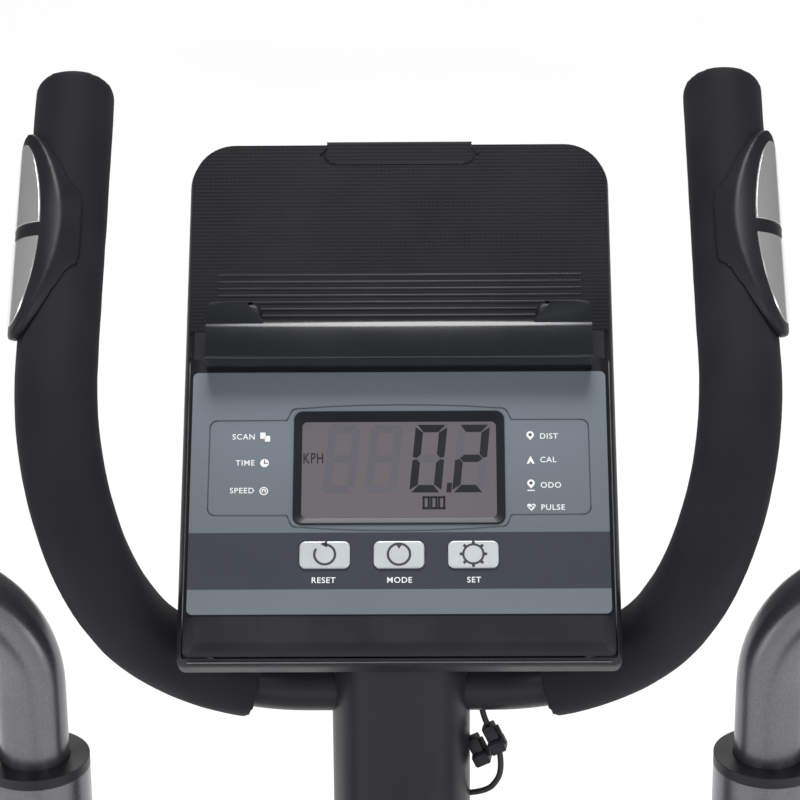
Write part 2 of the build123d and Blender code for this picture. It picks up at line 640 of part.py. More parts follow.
def make_arm_collar():
    """Black plastic reducer between the lower tube and the handle tube."""
    rim, under = arm_point(ARM_X, RIM_UP), arm_point(ARM_X, RIM_UP - COLLAR_FLANGE)
    foot = arm_point(ARM_X, RIM_UP - COLLAR_DEPTH)
    collar = rod(under, rim, ARM_R, UPPER_R + TRIM_GAP)
    return collar + rod(foot, under, ARM_R - ARM_WALL - TRIM_GAP, UPPER_R + TRIM_GAP)


def handle_points():
    """Bends of the right handle tube, from inside the lower tube to its top end."""
    return [arm_point(ARM_X, RIM_UP - 90), arm_point(ARM_X, RIM_UP + 66),
            arm_point(HANDLE_X, RIM_UP + 132, 34), arm_point(HANDLE_X, RIM_UP + 392, 92)]


def make_arm_upper():
    """Bent handle tube of the right arm."""
    return swept(handle_points(), [62, 62], UPPER_R, UPPER_R - 1.5)


def make_arm_grip():
    """Foam sleeve with a closed end on the handle tube."""
    low, high = handle_points()[-2:]
    along = (high - low).normalized()
    start, end = low + along * 56, high + along * 6
    grip = rod(start, end, GRIP_R)
    grip = fillet(grip.edges().filter_by(GeomType.CIRCLE), 5)
    return grip - rod(start, high + along * TRIM_GAP, UPPER_R + TRIM_GAP)


def make_arm_hardware():
    """Pivot bushes, link bolt and height bolt of the right arm."""
    hub = (ARM_X - 27, ARM_X + 27)
    pieces = [rod_x(x0, x0 + 20, PIVOT_Y, PIVOT_Z, HUB_BORE - RUNNING, ARM_AXLE_R + RUNNING)
              for x0 in (hub[0], hub[1] - 20)]
    outer = ARM_X + ARM_R
    bolt = rod_x(BAR_OUT + LINK_GAP, outer, LOWER_PIVOT_Y, AXLE_Z, PIN_R)
    bolt += rod_x(outer, outer + 3, LOWER_PIVOT_Y, AXLE_Z, 15)
    bolt += rod_x(outer + 3, outer + 9, LOWER_PIVOT_Y, AXLE_Z, 11)
    return group(*pieces, bolt)


# ---- handlebar ----
def handlebar_points():
    """Bends of the right half of the handlebar, from the mast outwards."""
    return [CROSS, CROSS + Vector(CROSS_BEND_X, 0, 0), LIP + Vector(*ELBOW), LIP + Vector(*GRIP_END)]


def make_handlebar_tube():
    """One bent tube through the head of the mast."""
    right = handlebar_points()[1:]
    left = [Vector(-p.X, p.Y, p.Z) for p in reversed(right)]
    return swept([*left, *right], [BEND_R] * 4, BAR_TUBE_R, BAR_TUBE_R - 1.5)


def make_foam_grip():
    """Foam sleeve of the right half, cut square near the mast and closed over the tube's end."""
    start, corner, elbow, end = handlebar_points()
    along = (end - elbow).normalized()
    path = FilletPolyline(start, corner, elbow, end + along * FOAM_CAP, radius=[BEND_R] * 2)
    foam = sweep(Plane(origin=path @ 0, z_dir=path % 0) * Circle(FOAM_R), path=path)
    square_end = Plane(origin=path.position_at(FOAM_START, PositionMode.LENGTH),
                       z_dir=path.tangent_at(FOAM_START, PositionMode.LENGTH))
    foam -= square_end * Pos(0, 0, -60) * Box(90, 90, 120)
    foam = fillet(foam.edges().filter_by(GeomType.CIRCLE).sort_by(Axis.Z)[-1:], 4)
    return foam - swept([start, corner, elbow, end + along * TRIM_GAP], [BEND_R] * 2,
                        BAR_TUBE_R + TRIM_GAP / 2)


def sensor_frame():
    """Frame on the right grip's axis: z along the grip, x out through the sensor's middle."""
    elbow, end = handlebar_points()[2:]
    along = (end - elbow).normalized()
    user = Vector(0, -along.Z, along.Y)
    turn = radians(SENSOR_TURN)
    out = user * cos(turn) + Vector(1, 0, 0) * sin(turn)
    middle = elbow + along * (sum(SENSOR_SPAN) / 2)
    return Plane(origin=middle, x_dir=out, z_dir=along)


def sensor_shell(inner, outer, half_width, half_length):
    """Curved oval patch of the sensor, in the sensor's frame."""
    ring = Cylinder(outer, 2 * half_length + 4) - Cylinder(inner, 2 * half_length + 4)
    window = extrude(Plane.YZ * Ellipse(half_width, half_length), amount=outer + 5)
    return ring & window


def make_pulse_base():
    """Black sensor body of the right grip."""
    half = (SENSOR_SPAN[1] - SENSOR_SPAN[0]) / 2
    return sensor_frame() * sensor_shell(FOAM_R + TRIM_GAP / 2, SENSOR_R, 19.6, half)


def make_pulse_plates():
    """Two steel contact plates of the right grip, with a band of the body between them."""
    half = (SENSOR_SPAN[1] - SENSOR_SPAN[0]) / 2 - 6
    plates = sensor_shell(SENSOR_R + 0.05, SENSOR_R + 0.7, 13.6, half)
    band = Rot(12, 0, 0) * Box(80, 80, 7)
    return sensor_frame() * (plates - band)


# ---- pulse lead ----
def arc_radii(points):
    """Largest tangent arcs of a route's corners."""
    radii = []
    for before, here, after in zip(points, points[1:], points[2:]):
        run_in, run_out = here - before, after - here
        turn = radians(run_in.get_angle(run_out))
        radii.append(0.45 * min(run_in.length, run_out.length) / tan(turn / 2))
    return radii


def make_pulse_lead():
    """Thin lead from the crossbar's underside into the mast."""
    points = [CROSS + Vector(*p) for p in LEAD_POINTS]
    radii = arc_radii(points)
    lead = swept(points, radii, LEAD_R)
    path = FilletPolyline(*points, radius=radii)
    print("lead radii", [round(r, 1) for r in radii], "length", round(path.length, 1),
          "volume ratio", round(lead.volume / (path.length * pi * LEAD_R ** 2), 4))
    return lead


def make_lead_connector():
    """Plug and socket body round the lead's straight run."""
    start, end = (CROSS + Vector(*LEAD_POINTS[i]) for i in (2, 3))
    plane = Plane(origin=(start + end) / 2, x_dir=(0, 1, 0), z_dir=end - start)
    body = fillet(Box(8, 5.6, 5).edges().filter_by(Axis.Z), 1.2)
    return plane * (body - Cylinder(LEAD_R + 0.3, 30))


# ---- console, in its local frame ----
def console_outline(inset=0.0):
    """Face of the console: rounded top corners, small lower corners."""
    half = CONSOLE_W / 2 - inset
    face = Polyline((-half, inset), (half, inset), (half, CONSOLE_H - inset),
                    (-half, CONSOLE_H - inset), close=True)
    face = make_face(face)
    corners = face.vertices().sort_by(Axis.Y)
    face = fillet(corners[2:], CONSOLE_CORNER - inset)
    corners = face.vertices().sort_by(Axis.Y)
    return fillet(corners[:2], max(4 - inset, 1))


def button_places():
    """Middles of the three buttons."""
    return [(BUTTON_PITCH * step, BUTTON_Y) for step in (-1, 0, 1)]


def make_console_front():
    """Front shell: overlay face, button and window openings, rack plate and ledge."""
    shell = Pos(0, 0, -FRONT_DEPTH) * extrude(console_outline(), amount=FRONT_DEPTH)
    lip = shell.edges().filter_by(Axis.X).group_by(Axis.Y)[0].sort_by(Axis.Z)[-1:]
    shell = fillet(lip, 9)
    rack = Pos(0, 0, -RACK_RECESS) * extrude(console_outline(RACK_RIM), amount=FRONT_DEPTH)
    shell -= rack & box(-100, 100, LEDGE[1] + 6, CONSOLE_H, -FRONT_DEPTH, 10)
    hollow = Pos(0, 0, -FRONT_DEPTH) * extrude(console_outline(WALL), amount=FRONT_DEPTH - WALL)
    shell -= hollow & box(-100, 100, 0, BODY_H - WALL, -FRONT_DEPTH, -WALL)
    behind_rack = Pos(0, 0, -FRONT_DEPTH) * extrude(
        console_outline(WALL), amount=FRONT_DEPTH - RACK_RECESS - 5)
    shell -= behind_rack & box(-100, 100, BODY_H, CONSOLE_H, -FRONT_DEPTH, -RACK_RECESS - 5)
    width, low, high, reach = LEDGE
    ledge = rounded_plate(width, low, high, reach + RACK_RECESS, reach, 3)
    for side in (-1, 1):
        ear = Pos(side * (width - EAR[0]) / 2, high) * RectangleRounded(EAR[0], 2 * EAR[1], 4)
        ledge += Pos(0, 0, -RACK_RECESS) * extrude(ear, amount=reach + RACK_RECESS)
    shell += fillet(ledge.faces().sort_by(Axis.Z)[-1].edges(), LEDGE_EDGE)
    width, low, high = WINDOW
    shell -= rounded_plate(width - 6, low + 3, high - 3, WALL + 1, 0.5, 2)
    for x, y in button_places():
        hole = RectangleRounded(BUTTON_W + 2 * FIT, BUTTON_H + 2 * FIT, 3)
        shell -= Pos(x, y, -WALL - 1) * extrude(hole, amount=WALL + 2)
    tab = make_face(Polyline((-34, CONSOLE_H - 0.5), (34, CONSOLE_H - 0.5), (28, CONSOLE_H - 11),
                             (-28, CONSOLE_H - 11), close=True))
    shell += Pos(0, 0, -RACK_RECESS - 1) * extrude(tab, amount=1 + TAB_RISE)
    for x, y in screw_places():
        shell += Pos(x, y, -FRONT_DEPTH) * Cylinder(3.5, FRONT_DEPTH - 1, align=CENTRE_MIN)
        shell -= Pos(x, y, -FRONT_DEPTH) * Cylinder(SCREW_R, 10, align=CENTRE_MIN)
    return CONSOLE * shell


def screw_places():
    """Screws that join the two console shells."""
    return [(side * 80, y) for side in (-1, 1) for y in (14, 138)]


def make_console_back():
    """Back shell with the battery bay and the screw posts."""
    top = -FRONT_DEPTH
    outline = Pos(0, (6 + BODY_H - 2) / 2) * RectangleRounded(BACK_W, BODY_H - 8, 10)
    back = Pos(0, 0, top - BACK_DEPTH) * extrude(outline, amount=BACK_DEPTH)
    back = fillet(back.faces().sort_by(Axis.Z)[0].edges(), 3)
    inner = Pos(0, (6 + BODY_H - 2) / 2) * RectangleRounded(BACK_W - 2 * WALL, BODY_H - 8 - 2 * WALL, 8)
    back -= Pos(0, 0, top - BACK_DEPTH + WALL) * extrude(inner, amount=BACK_DEPTH)
    back -= box(*BATTERY_BAY, top - BACK_DEPTH - 1, top - BACK_DEPTH + WALL + 1)
    for x, y in screw_places():
        back += Pos(x, y, top - BACK_DEPTH + 1) * Cylinder(4.5, BACK_DEPTH - 1, align=CENTRE_MIN)
        back -= Pos(x, y, top - BACK_DEPTH - 1) * Cylinder(SCREW_R + 0.3, BACK_DEPTH + 2, align=CENTRE_MIN)
    for x, y in bracket_screws():
        back -= Pos(x, y, top - BACK_DEPTH - 1) * Cylinder(BRACKET_SCREW_R + RUNNING, 6, align=CENTRE_MIN)
    return CONSOLE * back


def make_battery_cover():
    """Slide-off cover of the battery bay."""
    x0, x1, y0, y1 = BATTERY_BAY
    z = -FRONT_DEPTH - BACK_DEPTH
    return CONSOLE * box(x0 + FIT, x1 - FIT, y0 + FIT, y1 - FIT, z, z + WALL)


def make_batteries():
    """Two AA cells side by side over the cover."""
    x0, x1, y0, _ = BATTERY_BAY
    z = -FRONT_DEPTH - BACK_DEPTH + WALL + CELL_R + 0.1
    cells = []
    for x in ((x0 + x1) / 2 - CELL_R - 0.45, (x0 + x1) / 2 + CELL_R + 0.45):
        start = (x, y0 + 4, z)
        cell = rod(start, (x, y0 + 53, z), CELL_R) + rod((x, y0 + 53, z), (x, y0 + 54.3, z), 2.7)
        cells.append(CONSOLE * cell)
    return group(*cells)


def make_console_screws():
    """Screws of the console shells and of the bracket."""
    z = -FRONT_DEPTH - BACK_DEPTH
    screws = []
    for x, y in screw_places():
        screw = rod((x, y, z - 1.6), (x, y, z + 22), SCREW_R - RUNNING)
        screws.append(CONSOLE * (screw + rod((x, y, z - 1.6), (x, y, z), 3.2)))
    for x, y in bracket_screws():
        screw = rod((x, y, MOUNT_FACE - 1.6), (x, y, z + WALL - 0.2), BRACKET_SCREW_R)
        screws.append(CONSOLE * (screw + rod((x, y, MOUNT_FACE - 1.6), (x, y, MOUNT_FACE), 4)))
    return group(*screws)


def bracket_screws():
    """Screws through the bracket, clear of the mast."""
    return [(side * 37, y) for side in (-1, 1) for y in (24, 112)]


def make_console_bracket():
    """Plate on the mast's slanted end that carries the console."""
    plate = rounded_plate(88, 12, 124, BRACKET_THICK, MOUNT_FACE + BRACKET_THICK, 6)
    for x, y in bracket_screws():
        plate -= Pos(x, y, MOUNT_FACE - 1) * Cylinder(BRACKET_SCREW_R + RUNNING, 6, align=CENTRE_MIN)
    return CONSOLE * plate


def make_overlay():
    """Printed overlay sheet with the window and button openings."""
    width, low, high = OVERLAY
    sheet = rounded_plate(width, low, high, 0.6, 0.6, 2.5)
    win_w, win_low, win_high = WINDOW
    sheet -= rounded_plate(win_w + 0.2, win_low - 0.1, win_high + 0.1, 2, 1, 4.1)
    for x, y in button_places():
        hole = RectangleRounded(BUTTON_W + 2 * FIT, BUTTON_H + 2 * FIT, 3)
        sheet -= Pos(x, y, -1) * extrude(hole, amount=3)
    return CONSOLE * sheet


def make_lcd_window():
    """Clear window that sits in the overlay's opening."""
    width, low, high = WINDOW
    window = rounded_plate(width, low, high, 1.2, 1.2, 4)
    return CONSOLE * window


def make_lcd_module():
    """Display glass and its frame behind the window."""
    _, low, high = WINDOW
    return CONSOLE * rounded_plate(96, low - 1, high + 1, 5, -WALL - 0.1, 1)


def make_circuit_board():
    """Board with three switches under the buttons and a sounder."""
    top = -BOARD_DEPTH
    board = box(-70, 70, 28, 130, top - 1.6, top)
    for x, y in button_places():
        board += box(x - 3, x + 3, y - 3, y + 3, top, -BUTTON_STEM - BUTTON_TRAVEL - 0.2)
    board += Pos(58, 112, top) * Cylinder(6, 5, align=CENTRE_MIN)
    return CONSOLE * board


def make_button(step):
    """Button cap with its flange and stem."""
    cap = rounded_plate(BUTTON_W, BUTTON_Y - BUTTON_H / 2, BUTTON_Y + BUTTON_H / 2,
                        WALL + 2.6, 1.8, 2.8)
    cap = fillet(cap.faces().sort_by(Axis.Z)[-1].edges(), 0.7)
    flange_half = BUTTON_H / 2 + 1.4
    cap += rounded_plate(BUTTON_W + 3, BUTTON_Y - flange_half, BUTTON_Y + flange_half,
                         1.2, -WALL - 0.2, 2)
    cap += Pos(0, BUTTON_Y, -BUTTON_STEM) * Cylinder(2, 3, align=CENTRE_MIN)
    return CONSOLE * Pos(BUTTON_PITCH * step, 0, 0) * cap


# ---- the parts ----
housing = make_housing_half()
wheel = make_wheel()
crank_arm = make_crank_arm()
foam = make_foam_grip()
foot_bar, bar_bushes, pedal = make_foot_bar(), make_bar_bushes(), make_pedal()
arm_pieces = {"arm_lower": make_arm_lower(), "arm_collar": make_arm_collar(),
              "arm_upper": make_arm_upper(), "arm_grip": make_arm_grip(),
              "arm_hardware": make_arm_hardware()}

nodes = {
    "base_beam": make_base_beam(),
    "front_stabilizer": make_stabilizer(FRONT_Y),
    "rear_stabilizer": make_stabilizer(REAR_Y),
    "end_caps": group(both_sides(make_front_cap()), both_sides(make_end_cap(REAR_Y))),
    "wheel_right": wheel,
    "wheel_left": mirror_x(wheel),
    "mast": make_mast(),
    "mast_cover": make_mast_cover(),
    "mast_bolts": make_mast_bolts(),
    "arm_axle": make_arm_axle(),
    "tension_knob": make_tension_knob(),
    "tension_cable": make_tension_cable(),
    "drive_bracket": make_drive_bracket(),
    "bearings": make_bearings(),
    "crank_axle": group(make_crank_axle(), make_crank_bolts()),
    "drive_pulley": make_drive_pulley(),
    "crank_arm_right": crank_arm,
    "crank_arm_left": turn_over_axle(crank_arm),
    "flywheel": make_flywheel(),
    "flywheel_axle": make_flywheel_axle(),
    "drive_belt": make_drive_belt(),
    "magnet_bracket": make_magnet_bracket(),
    "housing_right": housing,
    "housing_left": mirror_x(housing),
    "handlebar_tube": make_handlebar_tube(),
    "foam_grip_right": foam,
    "foam_grip_left": mirror_x(foam),
    "pulse_bases": both_sides(make_pulse_base()),
    "pulse_plates": both_sides(make_pulse_plates()),
    "pulse_lead": make_pulse_lead(),
    "lead_connector": make_lead_connector(),
    "console_bracket": make_console_bracket(),
    "console_back": make_console_back(),
    "console_front": make_console_front(),
    "console_overlay": make_overlay(),
    "console_screws": make_console_screws(),
    "battery_cover": make_battery_cover(),
    "batteries": make_batteries(),
    "circuit_board": make_circuit_board(),
    "lcd_module": make_lcd_module(),
    "lcd_window": make_lcd_window(),
    "button_reset": make_button(-1),
    "button_mode": make_button(0),
    "button_set": make_button(1),
}
for side, name in ((1, "right"), (-1, "left")):
    nodes[f"foot_bar_{name}"] = on_bar(foot_bar, side)
    nodes[f"bar_bushes_{name}"] = on_bar(bar_bushes, side)
    nodes[f"pedal_{name}"] = on_bar(pedal, side)
    for piece, solid in arm_pieces.items():
        nodes[f"{piece}_{name}"] = solid if side == 1 else mirror_x(solid)

os.makedirs("parts", exist_ok=True)
for name, solid in nodes.items():
    export_step(solid, f"parts/{name}.step")
print(len(nodes), "nodes")
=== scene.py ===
"""Looks of an elliptical trainer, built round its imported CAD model.

Every length is in metres unless its name says otherwise. The user faces +Y and +Z is up.
"""
import json
import logging
import math
from contextlib import contextmanager
from dataclasses import dataclass
from enum import Enum
from typing import Iterator, Sequence

import bmesh
import bpy
from mathutils import Matrix, Vector


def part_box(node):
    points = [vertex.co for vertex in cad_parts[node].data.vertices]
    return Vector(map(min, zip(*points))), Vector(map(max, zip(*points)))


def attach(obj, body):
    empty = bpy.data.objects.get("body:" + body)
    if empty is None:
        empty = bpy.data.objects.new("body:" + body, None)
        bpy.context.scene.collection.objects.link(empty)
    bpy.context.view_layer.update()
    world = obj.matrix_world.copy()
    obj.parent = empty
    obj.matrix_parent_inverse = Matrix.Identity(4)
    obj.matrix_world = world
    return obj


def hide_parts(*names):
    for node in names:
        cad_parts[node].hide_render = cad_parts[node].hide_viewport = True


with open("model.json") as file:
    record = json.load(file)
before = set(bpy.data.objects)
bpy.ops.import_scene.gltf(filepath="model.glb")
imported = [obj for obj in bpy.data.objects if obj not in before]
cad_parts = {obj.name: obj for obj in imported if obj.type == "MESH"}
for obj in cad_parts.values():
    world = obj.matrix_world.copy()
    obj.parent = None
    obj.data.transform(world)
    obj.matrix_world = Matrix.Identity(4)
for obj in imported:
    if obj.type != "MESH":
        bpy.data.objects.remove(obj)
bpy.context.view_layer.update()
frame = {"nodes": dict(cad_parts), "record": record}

MM = 0.001
NOISE_RANGE = (0.3, 0.7)
SIDES = ((1, "right"), (-1, "left"))
Point2 = tuple[float, float]
Point3 = tuple[float, float, float]
Outline = Sequence[Point2]
Edges = tuple[float, float, float, float]
Colour = tuple[float, float, float]
Socket = bpy.types.NodeSocket
LOG = logging.getLogger("trainer")


def mm(*values: float) -> Vector:
    """Vector from millimetres."""
    return Vector([value * MM for value in values])


# ---- materials ----
class Graph:
    """Node graph of one material, built round its Principled shader."""

    def __init__(self, name: str, base: Colour, roughness: float, metallic: float = 0.0) -> None:
        self.material = bpy.data.materials.new(name)
        self.material.use_nodes = True
        self.nodes = self.material.node_tree.nodes
        self.links = self.material.node_tree.links
        self.shader = self.nodes["Principled BSDF"]
        self.feed(self.shader, {"Base Color": (*base, 1), "Roughness": roughness, "Metallic": metallic})
        self.place = self.nodes.new("ShaderNodeTexCoord").outputs["Object"]

    def feed(self, node: bpy.types.Node, inputs: dict[str | int, object]) -> None:
        """Link sockets to a node's inputs, and set plain values on them."""
        for key, value in inputs.items():
            if isinstance(value, Socket):
                self.links.new(value, node.inputs[key])
            else:
                node.inputs[key].default_value = value

    def add(self, kind: str, inputs: dict[str | int, object], **settings: object) -> bpy.types.Node:
        """A new node with its settings and inputs."""
        node = self.nodes.new(kind)
        for key, value in settings.items():
            setattr(node, key, value)
        self.feed(node, inputs)
        return node

    def mapped(self, turn: Sequence[float], shift: Sequence[float],
               scale: Sequence[float] = (1, 1, 1)) -> Socket:
        """The object's coordinates, scaled, turned and shifted."""
        return self.add("ShaderNodeMapping", {"Rotation": turn, "Location": shift, "Scale": scale,
                                              "Vector": self.place}).outputs[0]

    def noise(self, per_metre: float, detail: float = 3.0, place: Socket | None = None) -> Socket:
        """Soft noise with that many features to a metre."""
        return self.add("ShaderNodeTexNoise", {"Scale": per_metre, "Detail": detail,
                                               "Vector": place or self.place}).outputs["Fac"]

    def cells(self, per_metre: float) -> Socket:
        """Distance to the nearest of many scattered points."""
        return self.add("ShaderNodeTexVoronoi",
                        {"Scale": per_metre, "Vector": self.place}).outputs["Distance"]

    def waves(self, per_metre: float, axis: str, place: Socket) -> Socket:
        """Straight bands across one axis."""
        return self.add("ShaderNodeTexWave", {"Scale": per_metre, "Vector": place},
                        wave_type="BANDS", bands_direction=axis).outputs["Fac"]

    def math(self, operation: str, a: Socket, b: Socket | float) -> Socket:
        """Result of a sum on two values."""
        return self.add("ShaderNodeMath", {0: a, 1: b}, operation=operation).outputs[0]

    def spread(self, value: Socket, low: float, high: float) -> Socket:
        """A noise value spread between two others."""
        start, end = NOISE_RANGE
        return self.add("ShaderNodeMapRange", {"From Min": start, "From Max": end, "To Min": low,
                                               "To Max": high, "Value": value}).outputs["Result"]

    def ramp(self, value: Socket, stops: Sequence[tuple[float, Colour]], stepped: bool = False) -> Socket:
        """Colours along a value."""
        node = self.add("ShaderNodeValToRGB", {"Fac": value})
        node.color_ramp.interpolation = "CONSTANT" if stepped else "LINEAR"
        elements = node.color_ramp.elements
        while len(elements) < len(stops):
            elements.new(0.5)
        for element, (at, colour) in zip(elements, stops):
            element.position = at
            element.color = (*colour, 1)
        return node.outputs["Color"]

    def tint(self, value: Socket, base: Colour, amount: float) -> None:
        """Base colour a little darker and lighter along a value."""
        shades = [tuple(min(channel * (1 + change), 1) for channel in base) for change in (-amount, amount)]
        self.feed(self.shader, {"Base Color": self.ramp(value, list(zip(NOISE_RANGE, shades)))})

    def relief(self, height: Socket, depth: float, strength: float = 1.0, edge: float = 0.0) -> None:
        """Surface relief of a height in 0 to 1, over softened edges when edge is a radius."""
        bump = self.add("ShaderNodeBump", {"Strength": strength, "Distance": depth, "Height": height})
        if edge:
            rounding = self.add("ShaderNodeBevel", {"Radius": edge}, samples=4)
            self.feed(bump, {"Normal": rounding.outputs["Normal"]})
        self.feed(self.shader, {"Normal": bump.outputs["Normal"]})

    def gloss(self, value: Socket, low: float, high: float) -> None:
        """Roughness between two values along a value."""
        self.feed(self.shader, {"Roughness": self.spread(value, low, high)})

    def set(self, **sockets: float) -> None:
        """Plain numbers on the shader's own sockets; _ stands for a space."""
        self.feed(self.shader, {key.replace("_", " "): value for key, value in sockets.items()})


@dataclass(frozen=True)
class Finish:
    """A surface with grain: colour, gloss, and a fine relief.

    Attributes:
        name: material name.
        base: linear base colour.
        roughness: lowest and highest roughness over the surface.
        metallic: 0 or 1, or a flake paint in between.
        grain: relief features to a metre.
        depth: relief height.
        mottle: how much the colour varies.
        edge: radius that sharp edges seem to have.
        coat: strength of a clear coat.
        sheen: strength of a soft sheen.
        streak: scale of the grain along each axis, for brushed or turned surfaces.
        shine: strength of the surface reflection.
    """

    name: str
    base: Colour
    roughness: tuple[float, float]
    metallic: float = 0.0
    grain: float = 1800.0
    depth: float = 0.00003
    mottle: float = 0.12
    edge: float = 0.0006
    coat: float = 0.0
    sheen: float = 0.0
    streak: Point3 = (1.0, 1.0, 1.0)
    shine: float = 0.5

    def material(self) -> bpy.types.Material:
        """The finished material."""
        graph = Graph(self.name, self.base, self.roughness[0], self.metallic)
        place = graph.mapped((0, 0, 0), (0, 0, 0), self.streak)
        fine = graph.noise(self.grain, 2.0, place)
        broad = graph.noise(self.grain / 60, 4.0, place)
        graph.tint(broad, self.base, self.mottle)
        graph.gloss(broad, *self.roughness)
        graph.relief(fine, self.depth, 0.6, self.edge)
        graph.set(Coat_Weight=self.coat, Coat_Roughness=0.12, Sheen_Weight=self.sheen,
                  Sheen_Roughness=0.6, Specular_IOR_Level=self.shine)
        return graph.material


@dataclass(frozen=True)
class FlakePaint:
    """Metallic paint with fine flakes under a thin lacquer."""

    name: str
    base: Colour
    roughness: tuple[float, float] = (0.25, 0.33)

    def material(self) -> bpy.types.Material:
        """The finished material."""
        graph = Graph(self.name, self.base, self.roughness[0], 0.75)
        flakes = graph.cells(5200.0)
        broad = graph.noise(24.0)
        graph.tint(flakes, self.base, 0.45)
        graph.gloss(broad, *self.roughness)
        graph.relief(graph.noise(900.0, 2.0), 0.00002, 0.5, 0.0006)
        graph.set(Coat_Weight=0.35, Coat_Roughness=0.22)
        return graph.material


@dataclass(frozen=True)
class RackSkin:
    """Black moulding with a fine woven grid, for the rack plate."""

    name: str = "rack_grid_moulding"
    threads_per_metre: float = 170.0

    def material(self) -> bpy.types.Material:
        """The finished material."""
        graph = Graph(self.name, (0.0168, 0.0172, 0.0200), 0.5)
        local = FACE.coordinates(graph)
        across, up = (graph.waves(self.threads_per_metre, axis, local) for axis in "XY")
        weave = graph.math("MAXIMUM", across, up)
        broad = graph.noise(30.0)
        graph.tint(broad, (0.0120, 0.0124, 0.0150), 0.2)
        graph.gloss(broad, 0.42, 0.52)
        graph.set(Specular_IOR_Level=0.12)
        graph.relief(weave, 0.00010, 0.55)
        return graph.material


@dataclass(frozen=True)
class OverlayPrint:
    """Slate-grey printed film: a light band, a dark band and a field above, painted lighter towards its top
    as painted light against the ledge's shadow.

    Attributes:
        top_mm: v at the sheet's upper edge.
        bands: v in millimetres where each band starts, with its colour.
        field_low: the field's colour at its foot.
        field_high: its colour at the top, lighter than the print as painted light that offsets the ledge's
            shadow.
        field_from_mm: v where the field starts.
    """

    name: str = "overlay_film"
    top_mm: float = 140.0
    bands: tuple[tuple[float, Colour], ...] = (
        (0.0, (0.137, 0.160, 0.184)),
        (32.3, (0.041, 0.046, 0.061)),
    )
    field_low: Colour = (0.128, 0.151, 0.173)
    field_high: Colour = (0.182, 0.212, 0.246)
    field_from_mm: float = 59.2

    def material(self) -> bpy.types.Material:
        """The finished material."""
        graph = Graph(self.name, self.field_low, 0.4)
        axes = graph.add("ShaderNodeSeparateXYZ", {0: FACE.coordinates(graph)})
        up = graph.math("DIVIDE", axes.outputs["Y"], self.top_mm * MM)
        start = self.field_from_mm / self.top_mm
        # Painted light: the field lightens towards its top to offset the shadow that the ledge casts on it.
        field = graph.ramp(up, [(start, self.field_low), (1.0, self.field_high)])
        stops = [(at / self.top_mm, colour) for at, colour in self.bands]
        bands = graph.ramp(up, stops, stepped=True)
        over = graph.math("GREATER_THAN", up, start)
        mixer = graph.add("ShaderNodeMix", {"Factor": over, "A": bands, "B": field}, data_type="RGBA")
        graph.feed(graph.shader, {"Base Color": mixer.outputs["Result"]})
        graph.gloss(graph.noise(40.0), 0.40, 0.48)
        graph.set(Specular_IOR_Level=0.2)
        graph.relief(graph.noise(3200.0, 1.0), 0.000015, 0.5)
        return graph.material


